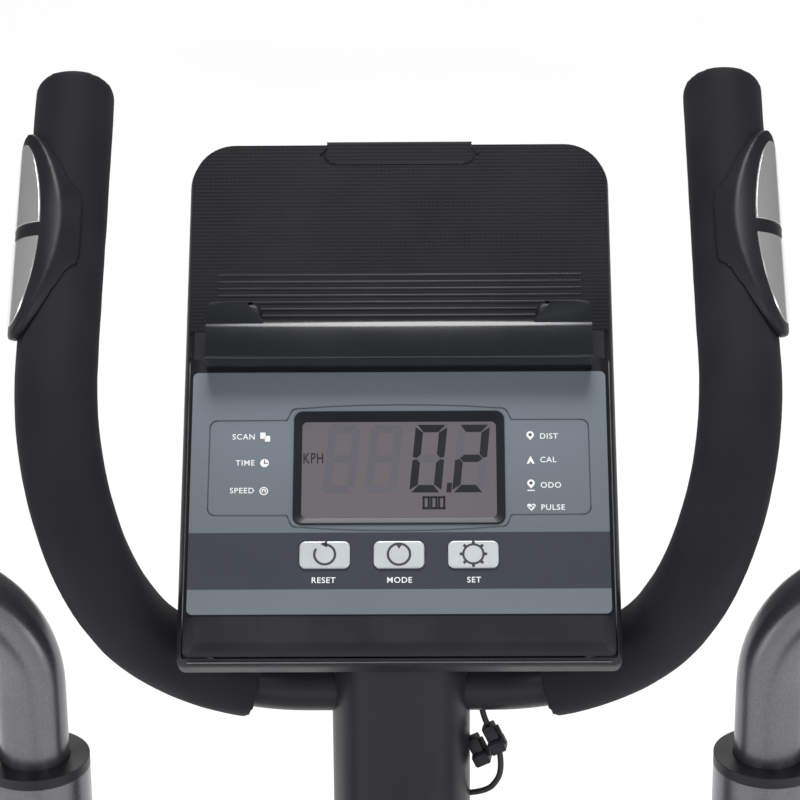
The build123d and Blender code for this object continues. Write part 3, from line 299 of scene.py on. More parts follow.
class Finishes(Enum):
    """The trainer's finishes, one for each material slot and a few for trim."""

    FRAME_PAINT = Finish("frame_powder_coat", (0.019, 0.019, 0.023), (0.30, 0.40), grain=1100,
                         depth=0.00006, mottle=0.18, shine=0.2)
    ARM_PAINT = FlakePaint("arm_gunmetal", (0.125, 0.124, 0.134))
    BLACK_PLASTIC = Finish("black_moulding", (0.0130, 0.0135, 0.0165), (0.36, 0.48), grain=2600,
                           depth=0.00004, shine=0.28)
    SATIN_PLASTIC = Finish("satin_moulding", (0.013, 0.014, 0.017), (0.16, 0.24), grain=900,
                           depth=0.00001, edge=0.0)
    FOAM = Finish("foam_skin", (0.0165, 0.0168, 0.0200), (0.62, 0.78), grain=2100, depth=0.00007,
                  mottle=0.15, edge=0.0, sheen=0.02, shine=0.1)
    PEDAL_PLASTIC = Finish("pedal_moulding", (0.019, 0.019, 0.021), (0.45, 0.6), grain=1500,
                           depth=0.00008)
    BRIGHT_STEEL = Finish("zinc_plate", (0.55, 0.56, 0.58), (0.22, 0.36), 1.0, grain=900)
    CONTACT_STEEL = Finish("contact_plate", (0.90, 0.90, 0.89), (0.12, 0.20), 0.8, grain=240,
                           depth=0.00001, mottle=0.03, edge=0.0003, streak=(1, 6, 6))
    FLYWHEEL_IRON = Finish("turned_iron", (0.20, 0.20, 0.21), (0.28, 0.42), 1.0, grain=700,
                           depth=0.00005, streak=(6, 1, 1))
    BELT_RUBBER = Finish("black_rubber", (0.017, 0.017, 0.018), (0.5, 0.66), grain=1600,
                         depth=0.00006)
    BUSH_NYLON = Finish("natural_nylon", (0.58, 0.57, 0.50), (0.4, 0.5))
    BOARD_GREEN = Finish("solder_mask", (0.02, 0.12, 0.05), (0.25, 0.4))
    CELL_WRAP = Finish("cell_wrap", (0.05, 0.06, 0.22), (0.2, 0.3), coat=0.5)
    # Pale grey strip on the console's lower edge: a painted highlight of the rim.
    LIP_EDGE = Finish("lower_edge_painted_highlight", (0.11, 0.11, 0.115), (0.18, 0.28), edge=0.0)
    LCD_FRAME = Finish("display_frame", (0.05, 0.045, 0.06), (0.3, 0.4), edge=0.0)
    LCD_BEZEL = Finish("display_bezel", (0.012, 0.013, 0.018), (0.24, 0.34), grain=300,
                       depth=0.000004, edge=0.0, shine=0.3)
    LCD_PANEL = Finish("display_panel", (0.128, 0.117, 0.127), (0.20, 0.26), grain=160,
                       depth=0.000002, mottle=0.03, edge=0.0)
    LCD_INK = Finish("display_ink", (0.0085, 0.0100, 0.0150), (0.25, 0.32), mottle=0.05, edge=0.0)
    LCD_GHOST = Finish("display_ghost", (0.112, 0.108, 0.132), (0.22, 0.28), mottle=0.02, edge=0.0)
    BUTTON_SILVER = Finish("key_silver", (0.60, 0.63, 0.66), (0.28, 0.36), 0.25, grain=2200,
                           depth=0.00001, mottle=0.04, edge=0.0002, coat=0.3)
    KEY_INK = Finish("key_ink", (0.035, 0.038, 0.046), (0.4, 0.5), edge=0.0)
    WHITE_INK = Finish("white_ink", (0.80, 0.81, 0.82), (0.45, 0.5), mottle=0.03, edge=0.0)
    LINE_INK = Finish("line_ink", (0.040, 0.052, 0.066), (0.45, 0.5), mottle=0.05, edge=0.0)
    RACK_SKIN = RackSkin()
    OVERLAY_PRINT = OverlayPrint()

    @property
    def material(self) -> bpy.types.Material:
        """This finish's one material, made when it is first asked for."""
        found = bpy.data.materials.get(self.value.name)
        return found or self.value.material()


# ---- modelling ----
def clear_selection() -> None:
    """Leave nothing selected."""
    bpy.ops.object.select_all(action="DESELECT")


def linked(name: str, data: bpy.types.ID) -> bpy.types.Object:
    """A new object in the scene."""
    obj = bpy.data.objects.new(name, data)
    bpy.context.scene.collection.objects.link(obj)
    return obj


class Piece:
    """A mesh shaped with the modelling operators."""

    CAPITAL_SHARE = 0.73

    def __init__(self, name: str) -> None:
        self.obj = bpy.context.active_object
        self.obj.name = name
        self.obj.data.name = name

    @classmethod
    def block(cls, name: str, size: Vector, centre: Vector) -> "Piece":
        """A box at its size and place."""
        clear_selection()
        bpy.ops.mesh.primitive_cube_add(size=1, location=centre, scale=size)
        bpy.ops.object.transform_apply(location=True, rotation=True, scale=True)
        return cls(name)

    @classmethod
    def disc(cls, name: str, radius: float, sides: int = 64) -> "Piece":
        """A filled circle about the origin, facing +Z."""
        clear_selection()
        bpy.ops.mesh.primitive_circle_add(radius=radius, vertices=sides, fill_type="NGON")
        return cls(name)

    @classmethod
    def cut_out(cls, name: str, outlines: Sequence[Outline], low: float, high: float) -> "Piece":
        """Flat shapes cut from a sheet.

        Args:
            outlines: closed outlines in the sheet's plane.
            low: height of the sheet's underside.
            high: height of its top.
        """
        clear_selection()
        bpy.ops.mesh.primitive_circle_add(vertices=len(outlines[0]), fill_type="NGON")
        piece = cls(name)
        with piece.editing():
            for number, outline in enumerate(outlines):
                if number:
                    bpy.ops.mesh.primitive_circle_add(vertices=len(outline), fill_type="NGON")
                mesh = bmesh.from_edit_mesh(piece.obj.data)
                mesh.verts.ensure_lookup_table()
                for vertex, (x, y) in zip(mesh.verts[-len(outline):], outline):
                    vertex.co = Vector((x, y, low))
            bpy.ops.mesh.select_all(action="SELECT")
            piece.extruded(high - low)
            piece.faces_out()
        return piece

    @classmethod
    def sheet(cls, name: str, outlines: Sequence[Outline], low_mm: float, high_mm: float) -> "Piece":
        """Shapes in millimetres, cut from a sheet between two heights in millimetres."""
        return cls.cut_out(name, [scaled(outline) for outline in outlines], low_mm * MM, high_mm * MM)

    @classmethod
    def from_node(cls, name: str, node: str) -> "Piece":
        """A copy of a CAD node's mesh, with its loose triangles merged."""
        clear_selection()
        copied = linked(name, frame["nodes"][node].data.copy())
        copied.data.materials.clear()
        copied.select_set(True)
        bpy.context.view_layer.objects.active = copied
        piece = cls(name)
        with piece.editing():
            bpy.ops.mesh.select_all(action="SELECT")
            bpy.ops.mesh.remove_doubles(threshold=0.01 * MM)
        return piece

    @classmethod
    def words(cls, name: str, body: str, height: float, weight: float, squeeze: float = 1.0,
              align: str = "CENTER") -> "Piece":
        """Lettering as a mesh about the origin, height tall."""
        clear_selection()
        bpy.ops.object.text_add()
        text = bpy.context.active_object.data
        text.body = body
        text.size = height / cls.CAPITAL_SHARE
        text.space_character = 1.12
        text.offset = weight
        text.extrude = 0.03 * MM
        text.align_x, text.align_y = align, "CENTER"
        bpy.ops.object.convert(target="MESH")
        return cls(name).placed(Matrix.Diagonal((squeeze, 1, 1, 1)))

    @classmethod
    def merged(cls, name: str, pieces: Sequence["Piece"]) -> "Piece":
        """One piece made of several."""
        first, *others = pieces
        first.joined(others)
        first.obj.name = first.obj.data.name = name
        return first

    @contextmanager
    def editing(self) -> Iterator[None]:
        """Edit mode on this piece."""
        bpy.context.view_layer.objects.active = self.obj
        bpy.ops.object.mode_set(mode="EDIT")
        yield
        bpy.ops.object.mode_set(mode="OBJECT")

    def extruded(self, rise: float) -> None:
        """In edit mode, extrude the selected faces upwards."""
        bpy.ops.mesh.extrude_region_move(TRANSFORM_OT_translate={"value": (0, 0, rise)})

    def faces_out(self) -> None:
        """In edit mode, turn every face outwards."""
        bpy.ops.mesh.select_all(action="SELECT")
        bpy.ops.mesh.normals_make_consistent(inside=False)

    def pick_top(self) -> None:
        """In edit mode, select the faces that look up."""
        bpy.ops.mesh.select_all(action="DESELECT")
        bpy.ops.mesh.select_mode(type="FACE")
        mesh = bmesh.from_edit_mesh(self.obj.data)
        for face in mesh.faces:
            face.select_set(face.normal.z > 0.9)
        bmesh.update_edit_mesh(self.obj.data)

    def turned(self, profile: Outline) -> "Piece":
        """Grow a disc into a turned shape: each step is a radius and a height."""
        with self.editing():
            bpy.ops.mesh.select_all(action="SELECT")
            at = self.obj.dimensions.x / 2
            height = 0.0
            for radius, z in profile:
                self.extruded(z - height)
                bpy.ops.transform.resize(value=(radius / at, radius / at, 1), center_override=(0, 0, z))
                at, height = radius, z
            self.faces_out()
        return self

    def activate(self, others: Sequence["Piece"] = ()) -> None:
        """Select this piece, with any others, and make it the active one."""
        clear_selection()
        for piece in (*others, self):
            piece.obj.select_set(True)
        bpy.context.view_layer.objects.active = self.obj

    def modify(self, kind: str, **settings: object) -> "Piece":
        """Add a modifier and apply it."""
        self.activate()
        modifier = self.obj.modifiers.new(kind.lower(), kind)
        for key, value in settings.items():
            setattr(modifier, key, value)
        bpy.ops.object.modifier_apply(modifier=modifier.name)
        return self

    def rounded(self, width: float, segments: int = 3, angle: float = 40.0) -> "Piece":
        """Round the edges sharper than an angle in degrees."""
        return self.modify("BEVEL", width=width, segments=segments, limit_method="ANGLE",
                           angle_limit=math.radians(angle), harden_normals=False)

    def placed(self, matrix: Matrix) -> "Piece":
        """Move the mesh itself."""
        self.obj.data.transform(matrix)
        return self

    def copied(self, name: str) -> "Piece":
        """Another of the same piece."""
        self.activate()
        bpy.ops.object.duplicate()
        return Piece(name)

    def joined(self, others: Sequence["Piece"]) -> "Piece":
        """Join other pieces into this one."""
        self.activate(others)
        bpy.ops.object.join()
        return self

    def finished(self, finish: Finishes, body: str, slot: str, smooth: float = 35.0) -> "Piece":
        """Dress the piece and hang it on a body.

        Args:
            finish: its surface.
            body: the CAD body that it moves with.
            slot: the record's material slot; not used.
            smooth: edges sharper than this many degrees stay sharp.

        Returns:
            The piece itself.
        """
        self.obj.data.materials.clear()
        self.obj.data.materials.append(finish.material)
        self.activate()
        bpy.ops.object.shade_smooth_by_angle(angle=math.radians(smooth))
        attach(self.obj, body)
        return self

    def on_face(self, finish: Finishes, slot: str = "black_plastic", body: str = "frame",
                smooth: float = 25.0) -> "Piece":
        """Set a piece shaped in the face's frame on the console, and dress it."""
        return self.placed(FACE.matrix).finished(finish, body, slot, smooth)


# ---- outlines, in millimetres unless scaled ----
def scaled(points: Outline, by: float = MM) -> list[Point2]:
    """Outline points scaled, to metres unless told otherwise."""
    return [(x * by, y * by) for x, y in points]


def shifted(points: Outline, across: float, up: float) -> list[Point2]:
    """Outline points moved."""
    return [(x + across, y + up) for x, y in points]


def mirrored(points: Outline) -> list[Point2]:
    """An outline's mirror image across the face's middle, taken backwards."""
    return [(-u, v) for u, v in reversed(points)]


def arc_points(centre: Point2, radius: float, start: float, end: float, steps: int) -> list[Point2]:
    """Points along an arc; angles in degrees."""
    angles = [math.radians(start + (end - start) * i / steps) for i in range(steps + 1)]
    return [(centre[0] + radius * math.cos(a), centre[1] + radius * math.sin(a)) for a in angles]


def ring_sector(centre: Point2, inner: float, outer: float, start: float, end: float,
                steps: int = 28) -> list[Point2]:
    """Outline of a curved band."""
    return (arc_points(centre, outer, start, end, steps)
            + arc_points(centre, inner, end, start, steps))


def rounded_box(u0: float, u1: float, v0: float, v1: float, radius: float,
                steps: int = 6) -> list[Point2]:
    """Outline of a box with rounded corners."""
    corners = [((u1 - radius, v1 - radius), 0), ((u0 + radius, v1 - radius), 90),
               ((u0 + radius, v0 + radius), 180), ((u1 - radius, v0 + radius), 270)]
    return [p for centre, turn in corners for p in arc_points(centre, radius, turn, turn + 90, steps)]


def stroke(points: Outline, width: float, closed: bool = False) -> list[list[Point2]]:
    """A line of a width along points, as one small outline for each run."""
    runs = list(zip(points, list(points[1:]) + ([points[0]] if closed else [])))
    outlines = []
    for (x0, y0), (x1, y1) in runs:
        length = math.hypot(x1 - x0, y1 - y0)
        if length == 0:
            continue
        dx, dy = (x1 - x0) / length * width / 2, (y1 - y0) / length * width / 2
        outlines.append([(x0 - dx - dy, y0 - dy + dx), (x0 - dx + dy, y0 - dy - dx),
                         (x1 + dx + dy, y1 + dy - dx), (x1 + dx - dy, y1 + dy + dx)])
    return outlines


class FaceFrame:
    """Frame of the console's face: u across, v up the face, w out of it.

    The origin is the middle of the console's lower front edge.
    """

    TILT = math.radians(36.6)
    SHEET_LOW_MM = 21.4
    SHEET_THICK_MM = 0.6

    def __init__(self) -> None:
        low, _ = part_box("console_overlay")
        sine, cosine = math.sin(self.TILT), math.cos(self.TILT)
        up, out = self.SHEET_LOW_MM * MM, self.SHEET_THICK_MM * MM
        self.origin = Vector((0.0, low.y - up * sine + out * cosine, low.z - up * cosine))
        self.matrix = Matrix(((1, 0, 0, 0), (0, sine, -cosine, self.origin.y),
                              (0, cosine, sine, self.origin.z), (0, 0, 0, 1)))

    def coordinates(self, graph: Graph) -> bpy.types.NodeSocket:
        """The material's coordinates in this frame."""
        turn = self.TILT - math.pi / 2
        shift = -(Matrix.Rotation(turn, 3, "X") @ self.origin)
        return graph.mapped((turn, 0, 0), shift)


FACE = FaceFrame()


# ---- console ----
@dataclass
class Display:
    """The display: sloped bezel, tinted panel, and seven-segment figures.

    Attributes:
        frame_mm: outer left, right, low and high edges.
        panel_mm: the same of the visible panel.
        digit_mm: width and height of a figure.
        digit_low_mm: height of the figures' feet up the face.
        digit_left_mm: left edges of the places that can show a figure.
        stroke_mm: width of a segment.
        slant: shift to the right for each millimetre up.
        top_mm: height of the bezel's rim.
        rim_mm: width of the rim.
        panel_depth_mm: height of the panel's underside.
        panel_thick_mm: thickness of the panel.
    """

    frame_mm: Edges = (-47.2, 47.2, 63.0, 116.8)
    panel_mm: Edges = (-43.5, 43.5, 66.2, 111.9)
    digit_mm: tuple[float, float] = (14.2, 32.3)
    digit_low_mm: float = 78.1
    digit_left_mm: tuple[float, ...] = (-34.4, -15.4, 4.5, 23.6)
    stroke_mm: float = 3.5
    slant: float = 0.095
    top_mm: float = 1.25
    rim_mm: float = 0.7
    panel_depth_mm: float = 0.12
    panel_thick_mm: float = 0.06

    def build(self) -> None:
        """Bezel, panel and figures, in place of the plain window."""
        bezel = self.bezel()
        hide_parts("lcd_window")
        self.figures()

    def bezel(self) -> Piece:
        """A frame that slopes in from its rounded rim to the panel."""
        bezel = Piece.sheet("display_bezel", [rounded_box(*self.frame_mm, 4.0)], 0.1, self.top_mm)
        left, right, low, high = (value * MM for value in self.panel_mm)
        o_left, o_right, o_low, o_high = (value * MM for value in self.frame_mm)
        rim = self.rim_mm * MM
        with bezel.editing():
            bezel.pick_top()
            bpy.ops.mesh.inset(thickness=rim)
            bezel.extruded(0)
            x_scale = (right - left) / (o_right - o_left - 2 * rim)
            y_scale = (high - low) / (o_high - o_low - 2 * rim)
            middle = Vector(((o_left + o_right) / 2, (o_low + o_high) / 2, 0))
            bpy.ops.transform.resize(value=(x_scale, y_scale, 1), center_override=middle)
            drop = (self.panel_depth_mm - self.top_mm) * MM
            shift = Vector(((left + right) / 2, (low + high) / 2, 0)) - middle
            bpy.ops.transform.translate(value=(shift.x, shift.y, drop))
        bezel.on_face(Finishes.LCD_BEZEL, "lcd_glass")
        panel = Piece.sheet("display_panel", [rounded_box(*self.panel_mm, 0.8)], self.panel_depth_mm,
                            self.panel_depth_mm + self.panel_thick_mm)
        panel.on_face(Finishes.LCD_PANEL, "lcd_frame")
        return bezel

    def segment(self, key: str, left: float) -> list[Point2]:
        """Outline of one segment of a figure.

        Args:
            key: a to g, as segments are usually lettered.
            left: left edge of the figure.
        """
        width, height = self.digit_mm
        t, gap, nib, point = self.stroke_mm, 0.28, 0.6, 1.2
        half = height / 2
        top = [(gap + nib, height), (width - gap - nib, height), (width - t - gap, height - t),
               (t + gap, height - t)]
        side = [(0, height - gap - 0.9), (t, height - t - gap), (t, half + t / 2 + gap),
                (t / 2, half + gap), (0, half + t / 2 + gap - point)]
        middle = [(t / 2 + gap, half), (t + gap, half + t / 2), (width - t - gap, half + t / 2),
                  (width - t / 2 - gap, half), (width - t - gap, half - t / 2), (t + gap, half - t / 2)]
        right = shifted(mirrored(side), width, 0)
        shapes = {"a": top, "b": right, "f": side, "g": middle}
        for upper, lower in (("a", "d"), ("b", "c"), ("f", "e")):
            shapes[lower] = [(x, height - y) for x, y in reversed(shapes[upper])]
        return [(left + x + y * self.slant, self.digit_low_mm + y) for x, y in shapes[key]]

    def figures(self) -> None:
        """The reading, its faint unlit segments, and two small words."""
        low = self.panel_depth_mm + self.panel_thick_mm
        lit = {2: "abcdef", 3: "abged"}
        dark = [self.segment(key, self.digit_left_mm[place]) for place, keys in lit.items() for key in keys]
        dot = [(0, 0), (2.2, 0), (2.7, 4.5), (0.5, 4.5)]
        dark.append(shifted(dot, self.digit_left_mm[3] - 2.6, self.digit_low_mm))
        dark += self.small_letters()
        ghosts = [self.segment(key, left) for place, left in enumerate(self.digit_left_mm)
                  for key in "abcdefg" if key not in lit.get(place, "")]
        for name, outlines, finish, rise in (("display_figures", dark, Finishes.LCD_INK, 0.05),
                                             ("display_unlit", ghosts, Finishes.LCD_GHOST, 0.03)):
            Piece.sheet(name, outlines, low, low + rise).on_face(finish, "lcd_frame")
        unit = Piece.words("display_unit", "KPH", 5.2 * MM, weight=0.05 * MM, squeeze=0.66)
        unit.placed(Matrix.Translation(mm(-38.4, 94.3, low + 0.01))).on_face(Finishes.LCD_INK, "lcd_frame")

    def small_letters(self) -> list[list[Point2]]:
        """Three squared letters under the reading, as strokes."""
        box = [(0, 0), (2.3, 0), (2.3, 5.2), (0, 5.2)]
        return [run for i in range(3)
                for run in stroke(shifted(box, 10.9 + 3.45 * i, 70.6), 0.95, closed=True)]


@dataclass
class Overlay:
    """Printed lines, words and signs on the overlay sheet.

    Attributes:
        line_mm: width of the printed lines.
        words: text, anchor across and up in millimetres, and alignment.
    """

    line_mm: float = 0.62
    words: tuple[tuple[str, float, float, str], ...] = (
        ("SCAN", -64.6, 104.7, "RIGHT"), ("TIME", -64.6, 92.2, "RIGHT"), ("SPEED", -64.6, 79.0, "RIGHT"),
        ("DIST", 63.0, 104.5, "LEFT"), ("CAL", 63.0, 93.2, "LEFT"), ("ODO", 63.0, 81.1, "LEFT"),
        ("PULSE", 63.0, 70.6, "LEFT"), ("RESET", -33.3, 36.9, "CENTER"), ("MODE", 0.2, 36.9, "CENTER"),
        ("SET", 33.0, 36.9, "CENTER"))

    def build(self) -> None:
        """Lines first, then words and signs."""
        self.outline()
        self.lettering()
        self.signs()

    def print_on(self, name: str, outlines: Sequence[Outline], finish: Finishes,
                 lift: float = 0.01, thick: float = 0.05) -> Piece:
        """Shapes printed on the sheet, a lift and a thickness in millimetres above it."""
        low = FACE.SHEET_THICK_MM + lift
        return Piece.sheet(name, outlines, low, low + thick).on_face(finish, "overlay_print")

    def outline(self) -> None:
        """One line round both word fields and the display, arched over and under it."""
        right = [(0.0, 120.0), (16.0, 119.85), (31.0, 119.3), (42.0, 118.5),
                 *arc_points((45.9, 115.3), 3.0, 85, 20, 5), (50.0, 113.6), (50.6, 112.7)]
        right += arc_points((81.6, 109.2), 3.4, 90, 0, 6) + arc_points((81.8, 70.8), 3.4, 0, -90, 6)
        right += [(50.2, 67.3), (49.6, 66.6), *arc_points((45.7, 64.8), 3.0, -10, -80, 5), (42.0, 61.6),
                  (31.0, 60.8), (16.0, 60.2), (0.0, 60.0)]
        line = right + mirrored(right[:-1])[:-1]
        self.print_on("overlay_outline", stroke(line, self.line_mm, closed=True), Finishes.LINE_INK)

    def lettering(self) -> None:
        """Plain function words."""
        lift = FACE.SHEET_THICK_MM + 0.03
        pieces = [Piece.words("overlay_words", text, 2.7 * MM, 0.04 * MM, align=align).placed(
            Matrix.Translation(mm(u, v, lift))) for text, u, v, align in self.words]
        Piece.merged("overlay_words", pieces).on_face(Finishes.WHITE_INK, "overlay_print")

    def signs(self) -> None:
        """Small signs beside the words."""
        pin = [*arc_points((0, 0.7), 1.7, -35, 215, 14), (0, -1.9)]
        heart = [(0, -1.7), (1.7, 0.1), *arc_points((0.95, 0.75), 0.95, 0, 160, 8),
                 *arc_points((-0.95, 0.75), 0.95, 20, 180, 8), (-1.7, 0.1)]
        flame = [(-1.8, -1.8), (0, 2.0), (1.8, -1.8), (0.7, -1.8), (0, -0.4), (-0.7, -1.8)]
        white = [
            (-60.9, 105.3, rounded_box(-1.5, 0.9, -1.4, 1.6, 0.3, 3)),
            (-59.6, 104.1, rounded_box(-0.7, 1.7, -1.6, 1.2, 0.3, 3)),
            (-60.2, 92.2, arc_points((0, 0), 1.95, 0, 345, 23)),
            (-60.3, 78.9, ring_sector((0, 0), 1.45, 1.95, 0, 359.9)),
            (-60.3, 78.9, ring_sector((0, 0), 0.45, 1.0, -50, 230)),
            (58.8, 104.6, pin), (58.8, 93.2, flame), (58.8, 81.5, pin),
            (58.8, 78.7, rounded_box(-1.7, 1.7, -0.25, 0.25, 0.2, 2)), (58.8, 70.7, heart)]
        self.print_on("overlay_signs", [shifted(shape, u, v) for u, v, shape in white], Finishes.WHITE_INK)
        marks = [*stroke([(-60.2, 93.5), (-60.2, 92.1), (-58.9, 92.1)], 0.45),
                 arc_points((58.8, 105.3), 0.75, 0, 340, 14), arc_points((58.8, 82.2), 0.75, 0, 340, 14),
                 *stroke([(57.4, 70.9), (58.3, 70.9), (58.7, 70.0), (59.3, 71.7), (60.2, 71.0)], 0.35)]
        self.print_on("overlay_sign_marks", marks, Finishes.LINE_INK, lift=0.05, thick=0.03)


class KeySign(Enum):
    """What each key shows: its place across the face, its body and its shapes."""

    RESET = (-32.8, "reset_key")
    MODE = (0.0, "mode_key")
    SET = (32.8, "set_key")

    def shapes(self) -> list[list[Point2]]:
        """Outlines of the sign about the key's middle."""
        if self is KeySign.RESET:
            return [ring_sector((0, 0), 4.05, 5.15, 100, -215), [(-2.0, 4.9), (1.1, 6.3), (1.0, 3.2)]]
        if self is KeySign.MODE:
            return [ring_sector((0, 0), 4.35, 5.45, 0, 359.9), [(-1.3, 4.4), (1.3, 4.4), (0, 2.5)]]
        nubs = [[(math.cos(a + s) * r, math.sin(a + s) * r) for s, r in
                 ((-0.15, 4.8), (-0.10, 6.1), (0.10, 6.1), (0.15, 4.8))]
                for a in (math.radians(45 * i) for i in range(8))]
        return [ring_sector((0, 0), 3.95, 4.95, 0, 359.9), *nubs]


@dataclass
class Keys:
    """Signs on the three keys.

    Attributes:
        middle_mm: the keys' height up the face.
        top_mm: how far their caps stand out.
    """

    middle_mm: float = 48.6
    top_mm: float = 1.8

    def build(self) -> None:
        """One sign on each key, moving with it."""
        for sign in KeySign:
            across, body = sign.value
            outlines = [shifted(shape, across, self.middle_mm) for shape in sign.shapes()]
            piece = Piece.sheet(f"{body}_sign", outlines, self.top_mm + 0.005, self.top_mm + 0.05)
            piece.on_face(Finishes.KEY_INK, "button_silver", body)


@dataclass
class Rack:
    """Book rack above the display: grid skin, ribs, finger tab and rounded ledge.

    Attributes:
        floor_mm: how far the rack plate lies under the console's face.
        span_mm: left, right, low and high edges of the grid skin.
        corner_mm: radius of its upper corners.
        ledge_half_mm: half the ledge's width.
        ledge_top_mm: how far the ledge stands out of the console's face.
    """

    floor_mm: float = -1.2
    span_mm: Edges = (-95.9, 95.9, 157.0, 252.2)
    corner_mm: float = 19.0
    ledge_half_mm: float = 87.2
    ledge_top_mm: float = 14.6

    def build(self) -> None:
        """Every piece of the rack."""
        self.skin()
        self.ribs()
        self.tab()
        self.ledge()

    def on_floor(self, name: str, outlines: Sequence[Outline], rise: float) -> Piece:
        """Shapes that stand on the rack plate."""
        return Piece.sheet(name, outlines, self.floor_mm - 0.1, self.floor_mm + rise)

    def skin(self) -> None:
        """Thin skin with a fine grid."""
        left, right, low, high = self.span_mm
        corner = arc_points((right - self.corner_mm, high - self.corner_mm), self.corner_mm, 0, 90, 12)
        outline = [(left, low), (right, low), *corner, *mirrored(corner)]
        self.on_floor("rack_skin", [outline], 0.12).on_face(Finishes.RACK_SKIN)

    def ribs(self) -> None:
        """Low ribs across the foot of the plate."""
        rib = rounded_box(-84.0, 84.0, 160.5, 162.0, 0.7, 3)
        ribs = self.on_floor("rack_ribs", [shifted(rib, 0, 3.4 * i) for i in range(8)], 0.22)
        ribs.rounded(0.1 * MM, 2).on_face(Finishes.BLACK_PLASTIC, smooth=35)

    def tab(self) -> None:
        """Finger tab, ringed by a raised dark line that is painted shade of a recess."""
        half = [*arc_points((38.2, 251.6), 4.4, 188, 250, 6), *arc_points((30.0, 247.4), 4.9, 15, -90, 8)]
        # Painted shade: a raised dark strip stands in for the shadow in a recess round the tab.
        groove_shade = self.on_floor("rack_tab_groove", stroke(half + mirrored(half), 1.0), 0.42)
        groove_shade.on_face(Finishes.LCD_BEZEL)
        tab_half = [(33.6, 252.9), *half[6:]]
        self.on_floor("rack_tab", [tab_half + mirrored(tab_half)], 0.40).on_face(Finishes.RACK_SKIN)

    def ledge(self) -> None:
        """Rounded nose on the ledge, with a raised ear at each end."""
        low, top = self.floor_mm + 0.05, self.ledge_top_mm
        profile = [(137.2, low), (137.2, top - 1.6), *arc_points((138.8, top - 1.6), 1.6, 180, 90, 5),
                   (152.3, top), (154.4, top - 0.45), (156.6, top - 1.5),
                   *arc_points((155.6, top - 2.8), 1.5, 55, 0, 5), (157.1, low)]
        across = Matrix(((0, 0, 1, 0), (1, 0, 0, 0), (0, 1, 0, 0), (0, 0, 0, 1)))
        nose = Piece.sheet("ledge_nose", [profile[::-1]], -self.ledge_half_mm, self.ledge_half_mm)
        nose.rounded(0.35 * MM, 3, 50).placed(across).on_face(Finishes.SATIN_PLASTIC, smooth=30)
        shape = [(61.2, 150.0), (87.15, 150.0), *arc_points((83.65, 161.7), 3.5, 0, 90, 6),
                 *arc_points((66.3, 162.2), 3.0, 90, 40, 4), (61.2, 156.3)]
        for word, outline in (("right", shape), ("left", mirrored(shape))):
            ear = Piece.sheet(f"ledge_ear_{word}", [outline], low, top - 0.45)
            ear.rounded(1.2 * MM, 4, 50).on_face(Finishes.SATIN_PLASTIC, smooth=50)


@dataclass
class ConsoleTrim:
    """Small parts of the console's back, and a pale strip on its lower edge that is a painted highlight."""

    back_mm: float = -30.0

    def build(self) -> None:
        """Battery cover grips and vent slots."""
        low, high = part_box("battery_cover")
        middle = FACE.matrix.inverted() @ ((low + high) / 2)
        u, v = middle.x / MM, middle.y / MM
        grip = rounded_box(u - 9, u + 9, v + 14, v + 15.2, 0.5, 3)
        self.on_back("battery_cover_grips", [shifted(grip, 0, 2.6 * i) for i in range(5)], 0.7)
        # Painted highlight: a pale grey strip stands in for light caught on the rim between front and back
        # shells.
        edge = Piece.block("console_lower_edge", mm(186.0, 0.5, 0.9), mm(0, 1.0, -4.6)).rounded(0.2 * MM, 2)
        edge.on_face(Finishes.LIP_EDGE, smooth=50)
        slot = rounded_box(-62.0, -59.0, 100.0, 126.0, 1.4, 4)
        self.on_back("console_back_vents", [shifted(slot, 7.0 * i, 0) for i in range(5)], 0.3)

    def on_back(self, name: str, outlines: Sequence[Outline], rise: float) -> None:
        """Shapes that stand on the back shell."""
        piece = Piece.sheet(name, outlines, self.back_mm - rise, self.back_mm + 0.3)
        piece.rounded(0.2 * MM, 2).on_face(Finishes.BLACK_PLASTIC, smooth=35)


# ---- soft parts and cord ----
@dataclass
class FoamSleeve:
    """A foam sleeve with softened edges and a slightly uneven skin.

    Attributes:
        node: the plain CAD sleeve that it stands for.
        body: the CAD body it moves with.
        voxel: size of the mesh's grain.
    """

    node: str
    body: str
    voxel: float = 0.0021

    def build(self) -> None:
        """Remake the sleeve as closed-cell foam."""
        sleeve = Piece.from_node(f"{self.node}_foam", self.node)
        sleeve.modify("REMESH", mode="VOXEL", voxel_size=self.voxel)
        sleeve.modify("SMOOTH", iterations=5, factor=0.5)
        unevenness = bpy.data.textures.new(f"{self.node}_unevenness", "CLOUDS")
        unevenness.noise_scale = 0.03
        sleeve.modify("DISPLACE", texture=unevenness, texture_coords="LOCAL", strength=0.0007, mid_level=0.5)
        sleeve.finished(Finishes.FOAM, self.body, "foam", 60)
        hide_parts(self.node)


@dataclass
class PulseSensors:
    """Sensor bodies on the grips, with softened edges."""

    voxel: float = 0.0006

    def build(self) -> None:
        """Both bodies in one piece, as the CAD node has them."""
        bases = Piece.from_node("pulse_base_bodies", "pulse_bases")
        bases.modify("REMESH", mode="VOXEL", voxel_size=self.voxel)
        bases.modify("SMOOTH", iterations=22, factor=0.5)
        bases.finished(Finishes.BLACK_PLASTIC, "frame", "black_plastic", 60)
        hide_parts("pulse_bases")


